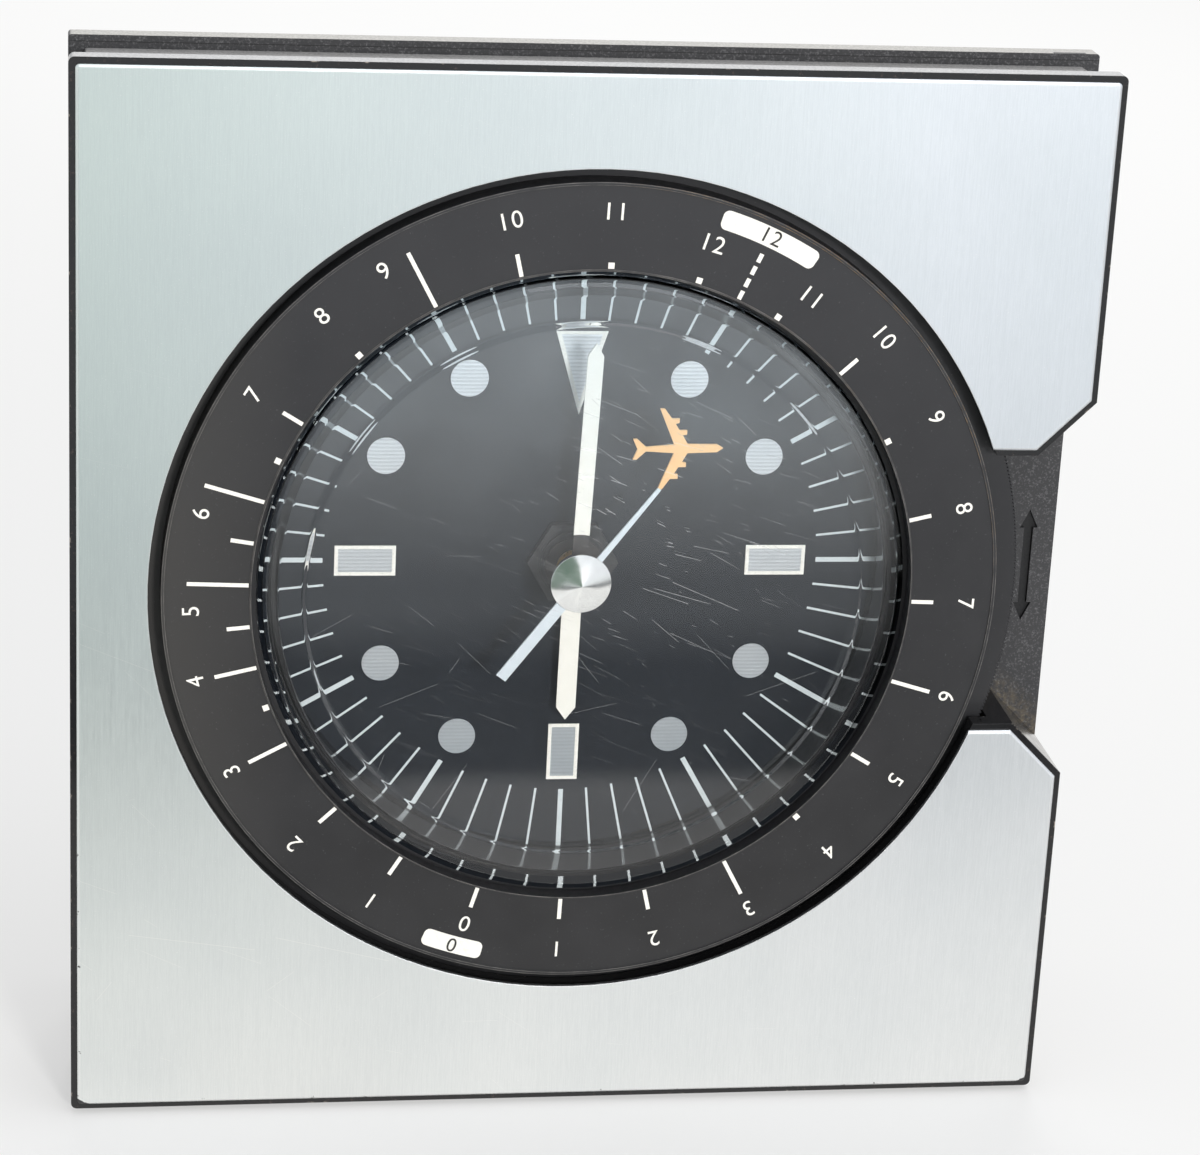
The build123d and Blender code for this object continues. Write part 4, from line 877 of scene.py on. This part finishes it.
def mesh_piece(name, points, faces, body, slot, ink=None):
    """New piece from points in metres and faces, closed, with its normals turned out."""
    mesh = bpy.data.meshes.new(name)
    mesh.from_pydata([tuple(point) for point in points], [], faces)
    shape = bmesh.new()
    shape.from_mesh(mesh)
    bmesh.ops.recalc_face_normals(shape, faces=shape.faces)
    shape.to_mesh(mesh)
    shape.free()
    mesh.shade_smooth()
    mesh.set_sharp_from_angle(angle=math.radians(SHARP_ANGLE))
    return fitted(name, mesh, body, slot, ink)


def eased(profile, size):
    """Profile with each corner rounded. A corner on the axis stays."""
    made = []
    for at, (radius, station) in enumerate(profile):
        if radius == 0:
            made.append((radius, station))
            continue
        here = Vector((radius, station))
        before = Vector(profile[at - 1]) - here
        after = Vector(profile[(at + 1) % len(profile)]) - here
        reach = min(size, before.length * EASE_SHARE, after.length * EASE_SHARE)
        start = here + before.normalized() * reach
        end = here + after.normalized() * reach
        for step in range(EASE_STEPS + 1):
            share = step / EASE_STEPS
            bend = start * (1 - share) ** 2 + here * 2 * share * (1 - share) + end * share**2
            made.append((bend.x, bend.y))
    return made


def turned(name, profile, size, segments, body, slot):
    """Piece turned about the hand axis from a closed profile of radius and station."""
    points = []
    rings = []
    for radius, station in eased(profile, size):
        if radius == 0:
            rings.append([len(points)] * segments)
            points.append(spot(0, 0, station))
            continue
        rings.append(list(range(len(points), len(points) + segments)))
        for step in range(segments):
            across, up = clock(radius, 360 * step / segments)
            points.append(spot(across, up, station))
    faces = []
    for at, ring in enumerate(rings):
        following = rings[(at + 1) % len(rings)]
        for step in range(segments):
            then = (step + 1) % segments
            corners = [ring[step], ring[then], following[then], following[step]]
            corners = list(dict.fromkeys(corners))
            if len(corners) > 2:
                faces.append(corners)
    piece = mesh_piece(name, points, faces, body, slot)
    weights = piece.modifiers.new("even_normals", "WEIGHTED_NORMAL")
    weights.keep_sharp = True
    return piece


def slabs(name, outlines, front, thick, body, slot, ink=None):
    """One piece of thin closed slabs. Each outline is a convex ring of across and up."""
    points = []
    faces = []
    for outline in outlines:
        base = len(points)
        count = len(outline)
        for station in (front, front + thick):
            points.extend(spot(across, up, station) for across, up in outline)
        faces.append(list(range(base, base + count)))
        faces.append(list(range(base + count, base + 2 * count)))
        for at in range(count):
            then = (at + 1) % count
            faces.append([base + at, base + then, base + count + then, base + count + at])
    return mesh_piece(name, points, faces, body, slot, ink)


def bar(angle, start, end, width):
    """Outline of a straight radial bar."""
    turn = math.radians(angle)
    out = Vector((math.sin(turn), math.cos(turn)))
    side = Vector((math.cos(turn), -math.sin(turn))) * width / 2
    corners = (out * start - side, out * start + side, out * end + side, out * end - side)
    return [tuple(corner) for corner in corners]


def border(outer, inner):
    """Border between two outlines, cut into one convex slab for each side."""
    made = []
    for at in range(len(outer)):
        then = (at + 1) % len(outer)
        made.append([outer[at], outer[then], inner[then], inner[at]])
    return made


def pill(angle, radius, length, height):
    """Band bent round the hand axis with rounded corners, as convex slabs."""
    half_angle = math.degrees(length / 2 / radius)
    rows = []
    for step in range(PILL_STEPS + 1):
        share = math.sin(math.pi * (step / PILL_STEPS - 0.5))
        along = share * length / 2
        past = max(0.0, abs(along) - (length / 2 - PILL_CORNER))
        drop = PILL_CORNER - math.sqrt(max(0.0, PILL_CORNER**2 - past**2))
        turn = angle + share * half_angle
        low = clock(radius - height / 2 + drop, turn)
        high = clock(radius + height / 2 - drop, turn)
        rows.append((low, high))
    return [
        [low, next_low, next_high, high]
        for (low, high), (next_low, next_high) in zip(rows, rows[1:])
    ]


def hour_angle(hour):
    """Angle of an hour of the ring, counted clockwise from the lower pill."""
    return (FIRST_HOUR_ANGLE + HOUR_STEP * hour) % 360


def numerals(name, entries, front, thick, body, slot, ink):
    """One piece of plain numbers, their tops away from the hand axis. Each entry is text,
    size, radius and angle."""
    whole = bmesh.new()
    for text, size, radius, angle in entries:
        curve = bpy.data.curves.new("number", "FONT")
        curve.body = text
        curve.size = size
        curve.align_x = "CENTER"
        curve.align_y = "CENTER"
        curve.extrude = thick / 2
        curve.resolution_u = NUMBER_CURVE_STEPS
        curve.space_character = NUMBER_SPACING
        carrier = in_scene("number", curve)
        bpy.context.view_layer.update()
        flat = bpy.data.meshes.new_from_object(
            carrier.evaluated_get(bpy.context.evaluated_depsgraph_get())
        )
        bpy.data.objects.remove(carrier)
        across, up = clock(radius, angle)
        turned_to = Matrix.Rotation(math.radians(-angle), 2)
        for vertex in flat.vertices:
            place = turned_to @ Vector((vertex.co.x, vertex.co.y))
            vertex.co = spot(across + place.x, up + place.y, front + thick / 2 - vertex.co.z)
        whole.from_mesh(flat)
        bpy.data.meshes.remove(flat)
    bmesh.ops.remove_doubles(whole, verts=whole.verts, dist=MERGE_DISTANCE)
    bmesh.ops.recalc_face_normals(whole, faces=whole.faces)
    mesh = bpy.data.meshes.new(name)
    whole.to_mesh(mesh)
    whole.free()
    return fitted(name, mesh, body, slot, ink)


def make_ring():
    """Zone ring, with fine rounded edges and fine teeth round the flange for the finger."""
    ring = turned(
        "ring_turned",
        [
            (RING_BORE, RING_LIP_STATION),
            (RING_INNER_LIP, RING_LIP_STATION),
            (RING_INNER_LIP, RING_PRINT_STATION),
            (RING_PRINT_RADIUS, RING_PRINT_STATION),
            (RING_PRINT_RADIUS, RING_LIP_STATION),
            (RING_RADIUS, RING_LIP_STATION),
            (RING_RADIUS, FLANGE_FRONT),
            (FLANGE_ROOT, FLANGE_FRONT),
            (FLANGE_ROOT, FLANGE_BACK),
            (RING_WALL_INNER, FLANGE_BACK),
            (RING_WALL_INNER, RING_BACK),
            (RING_SKIRT_OUTER, RING_BACK),
            (RING_SKIRT_OUTER, RING_SKIRT_BACK),
            (RING_SKIRT_BORE, RING_SKIRT_BACK),
            (RING_SKIRT_BORE, RING_BACK),
            (RING_BORE, RING_BACK),
        ],
        RING_EASE,
        SEGMENTS,
        "zone_ring",
        "ring_black",
    )
    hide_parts("zone_ring")
    teeth = []
    for tooth in range(KNURL_TEETH):
        middle = 360 * tooth / KNURL_TEETH
        teeth.append(
            [
                clock(FLANGE_ROOT - KNURL_SUNK, middle - TOOTH_ROOT),
                clock(FLANGE_ROOT - KNURL_SUNK, middle + TOOTH_ROOT),
                clock(RING_FLANGE_RADIUS, middle + TOOTH_TIP),
                clock(RING_FLANGE_RADIUS, middle - TOOTH_TIP),
            ]
        )
    slabs(
        "ring_knurl",
        teeth,
        FLANGE_FRONT + KNURL_SUNK,
        FLANGE_BACK - FLANGE_FRONT - 2 * KNURL_SUNK,
        "zone_ring",
        "ring_black",
    )


def make_crystal():
    """Crystal pan, whose smooth bevels bend the light as the real one does. It casts no
    shadow, so that the lamps reach the dial."""
    crystal = turned(
        "crystal_turned",
        [
            (0, CRYSTAL_FACE),
            (CRYSTAL_FACE_RADIUS, CRYSTAL_FACE),
            (CRYSTAL_FACE_RADIUS + CRYSTAL_STEP, CRYSTAL_SHOULDER),
            (CRYSTAL_RADIUS - CRYSTAL_BEVEL, CRYSTAL_SHOULDER),
            (CRYSTAL_RADIUS, CRYSTAL_SHOULDER + CRYSTAL_BEVEL),
            (CRYSTAL_RADIUS, CRYSTAL_FLANGE_STATION),
            (CRYSTAL_FLANGE_RADIUS, CRYSTAL_FLANGE_STATION),
            (CRYSTAL_FLANGE_RADIUS, DIAL_STATION),
            (CRYSTAL_INSIDE, DIAL_STATION),
            (CRYSTAL_INSIDE, CRYSTAL_FACE_BACK + CRYSTAL_BEVEL),
            (CRYSTAL_INSIDE - CRYSTAL_BEVEL, CRYSTAL_FACE_BACK),
            (0, CRYSTAL_FACE_BACK),
        ],
        CRYSTAL_EASE,
        SEGMENTS,
        "case",
        "crystal_clear",
    )
    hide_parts("crystal")
    crystal.visible_shadow = False


def make_cap():
    """Cone on the hands, with a ring halfway and one near its tip so that it shades evenly."""
    cap = turned(
        "cap_turned",
        [
            (CAP_BORE, CAP_BACK),
            (CAP_RADIUS, CAP_BACK),
            (CAP_RADIUS, CAP_EDGE),
            (CAP_RADIUS / 2, (CAP_EDGE + CAP_TIP) / 2),
            (CAP_RADIUS * CAP_TIP_SHARE, CAP_TIP + (CAP_EDGE - CAP_TIP) * CAP_TIP_SHARE),
            (0, CAP_TIP),
            (0, CAP_BORE_FRONT),
            (CAP_BORE, CAP_BORE_FRONT),
        ],
        CAP_EASE,
        CAP_SEGMENTS,
        "second_hand",
        "cap_chrome",
    )
    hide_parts("hand_cap")


def print_ring():
    """Print on the ring: ticks, squares, the dashed line, the two pale pills and the numbers,
    which count up to the upper pill and down again."""
    rows = (
        (NORMAL_HOURS, TICK_NORMAL_END, TICK_WIDTH),
        (MEDIUM_HOURS, TICK_MEDIUM_END, TICK_WIDTH),
        (LONG_HOURS, TICK_LONG_END, TICK_WIDTH),
        (SQUARE_HOURS, TICK_START + SQUARE_SIZE, SQUARE_SIZE),
    )
    ticks = []
    for hours, end, width in rows:
        ticks.extend(bar(hour_angle(hour), TICK_START, end, width) for hour in hours)
    for dash in range(DASHES):
        start = TICK_START + DASH_PITCH * dash
        ticks.append(bar(hour_angle(DASHED_HOUR), start, start + DASH_LENGTH, DASH_WIDTH))
    for hour, radius, length, height, _ in PILLS:
        ticks.extend(pill(hour_angle(hour), radius, length, height))
    slabs("ring_ticks", ticks, PRINT_FRONT, PRINT_THICK, "zone_ring", "ring_black", PRINT_WHITE)

    numbers = []
    for hour in range(24):
        radius, aside = MOVED_NUMBERS.get(hour, NUMBER_PLACE)
        text = str(hour if hour <= 12 else 24 - hour)
        numbers.append((text, NUMBER_SIZE, radius, hour_angle(hour) + aside))
    numerals(
        "ring_numbers", numbers, PRINT_FRONT, PRINT_THICK, "zone_ring", "ring_black", PRINT_WHITE
    )
    numerals(
        "pill_numbers",
        [(text, PILL_NUMBER_SIZE, radius, hour_angle(hour)) for hour, radius, _, _, text in PILLS],
        PRINT_FRONT - PRINT_THICK,
        PRINT_THICK,
        "zone_ring",
        "ring_black",
        PRINT_BLACK,
    )


def print_dial():
    """Minute track of the dial, and white borders of the bars and of the triangle."""
    track = []
    for minute in range(60):
        width = TRACK_WIDTH if minute % 5 else TRACK_WIDTH_AT_HOUR
        track.append(bar(6 * minute, TRACK_INNER, TRACK_OUTER, width))
    front = DIAL_STATION - TRACK_THICK
    slabs("dial_track", track, front, TRACK_THICK, "case", "dial_grey", DIAL_WHITE)

    borders = []
    for angle in BAR_MARK_ANGLES:
        sides = []
        for inset in (0.0, MARK_BORDER):
            half = BAR_MARK_HALF_LENGTH - inset
            width = BAR_MARK_WIDTH - 2 * inset
            sides.append(bar(angle, BAR_MARK_RADIUS - half, BAR_MARK_RADIUS + half, width))
        borders.extend(border(*sides))
    borders.extend(border(TRIANGLE_OUTER, TRIANGLE_INNER))
    front = MARK_FRONT - PRINT_THICK
    slabs("mark_borders", borders, front, PRINT_THICK, "case", "mark_silver", PRINT_WHITE)


def floor_finish():
    """Pale floor that keeps the shadow, near white to the camera. Polished surfaces see it
    end in a dark line in front of the clock, with green beyond it on the left."""
    material = bpy.data.materials.new("floor_pale")
    material.use_nodes = True
    tree = material.node_tree
    tree.nodes.clear()
    made = Nodes(tree)
    coords = add(tree, "TexCoord").outputs["Object"]
    camera_ray, shiny = made.rays()

    # To the camera: matt, and glowing more with the distance
    cloud = add(tree, "TexNoise", {"Vector": coords, "Scale": 1.5, "Detail": 2.0}).outputs["Fac"]
    tone = made.mix(cloud, FLOOR_DARKER, FLOOR_LIGHTER)
    matt = add(tree, "BsdfDiffuse", {"Color": tone}).outputs[0]
    glow = add(tree, "Emission", {"Color": CAMERA_WHITE, "Strength": 1.0}).outputs[0]
    away = made.vectors("LENGTH", coords)["Value"]
    share = made.fade(away, *FLOOR_GLOW_WAY, *FLOOR_GLOW_SHARE)
    seen = made.times(camera_ray, share)
    plain = add(tree, "MixShader", {0: seen, 1: matt, 2: glow}).outputs[0]

    # To polished surfaces: levels along the way to the clock
    across, along, _ = made.split(coords)
    ramp = add(tree, "ValToRGB", {0: made.fade(along, RAMP_START, 0.0)})
    stops = ramp.color_ramp.elements
    stops[0].color = RAMP_FAR_COLOUR
    stops[1].color = RAMP_NEAR_COLOUR
    for at, level in RAMP_LEVELS:
        stops.new(at).color = (*(level * tint for tint in RAMP_TINT), 1)
    stops.new(RAMP_EDGE).color = RAMP_EDGE_COLOUR

    # The green wedge
    aside = made.times(across, -1.0)
    inside = made.plus(aside, made.times(along, WEDGE_RIGHT_SLANT))
    outside = made.plus(aside, made.times(along, WEDGE_LEFT_SLANT))
    green = made.times(
        made.fade(inside, *WEDGE_RIGHT),
        made.fade(outside, *WEDGE_LEFT, 1.0, 0.0),
        made.fade(along, *WEDGE_END, WEDGE_SHARE, 0.0),
    )
    shade = made.mix(green, ramp.outputs[0], GREENERY)
    mirror = add(tree, "Emission", {"Color": shade, "Strength": 1.0}).outputs[0]
    surface = add(tree, "MixShader", {0: shiny, 1: plain, 2: mirror}).outputs[0]
    add(tree, "OutputMaterial", {"Surface": surface})
    return material


def make_floor():
    """Square floor at the height that the clock stands on."""
    mesh = bpy.data.meshes.new("floor")
    ways = ((-1, -1), (1, -1), (1, 1), (-1, 1))
    corners = [(x * FLOOR_HALF, y * FLOOR_HALF, 0) for x, y in ways]
    mesh.from_pydata(corners, [], [(0, 1, 2, 3)])
    mesh.materials.append(floor_finish())
    floor = in_scene("floor", mesh)


def make_world():
    """Soft pale surroundings. Polished surfaces see them white, with a dark green patch
    in front on the left."""
    world = bpy.data.worlds.new("studio")
    world.use_nodes = True
    tree = world.node_tree
    made = Nodes(tree)
    camera_ray, shiny = made.rays()
    way = add(tree, "TexCoord").outputs["Generated"]
    near = made.vectors("DOT_PRODUCT", way, GREEN_WAY)["Value"]
    green = made.times(made.fade(near, GREEN_START, GREEN_FULL), shiny)
    tone = made.mix(camera_ray, made.mix(green, SKY, GREENERY), CAMERA_WHITE)
    strength = made.greatest(made.times(camera_ray, SKY_TO_CAMERA), shiny, SKY_LIGHT)
    shade = tree.nodes["Background"]
    tree.links.new(tone, shade.inputs["Color"])
    tree.links.new(strength, shade.inputs["Strength"])
    bpy.context.scene.world = world


def make_lamp(name, place, target, size, watts, colour, gloss):
    """Square lamp that shines at a target and isn't seen through the crystal."""
    data = bpy.data.lights.new(name, "AREA")
    data.size = size
    data.energy = watts
    data.color = colour
    lamp = in_scene(name, data)
    lamp.location = place
    way = Vector(target) - Vector(place)
    lamp.rotation_mode = "QUATERNION"
    lamp.rotation_quaternion = way.to_track_quat("-Z", "Y")
    lamp.visible_glossy = gloss
    lamp.visible_transmission = False


def make_camera():
    """Camera where the photograph was taken from."""
    data = bpy.data.cameras.new("camera")
    data.sensor_width = CAMERA_SENSOR
    data.lens = CAMERA_LENS
    data.clip_start, data.clip_end = CAMERA_CLIP
    camera = in_scene("camera", data)
    turn = Matrix(CAMERA_AXES).transposed().to_4x4()
    camera.matrix_world = Matrix.Translation(CAMERA_PLACE) @ turn
    bpy.context.scene.camera = camera


make_ring()
make_crystal()
make_cap()
print_ring()
print_dial()
make_floor()
make_world()
for lamp_row in LAMPS:
    make_lamp(*lamp_row)
make_camera()
bpy.context.scene.view_settings.view_transform = "Standard"
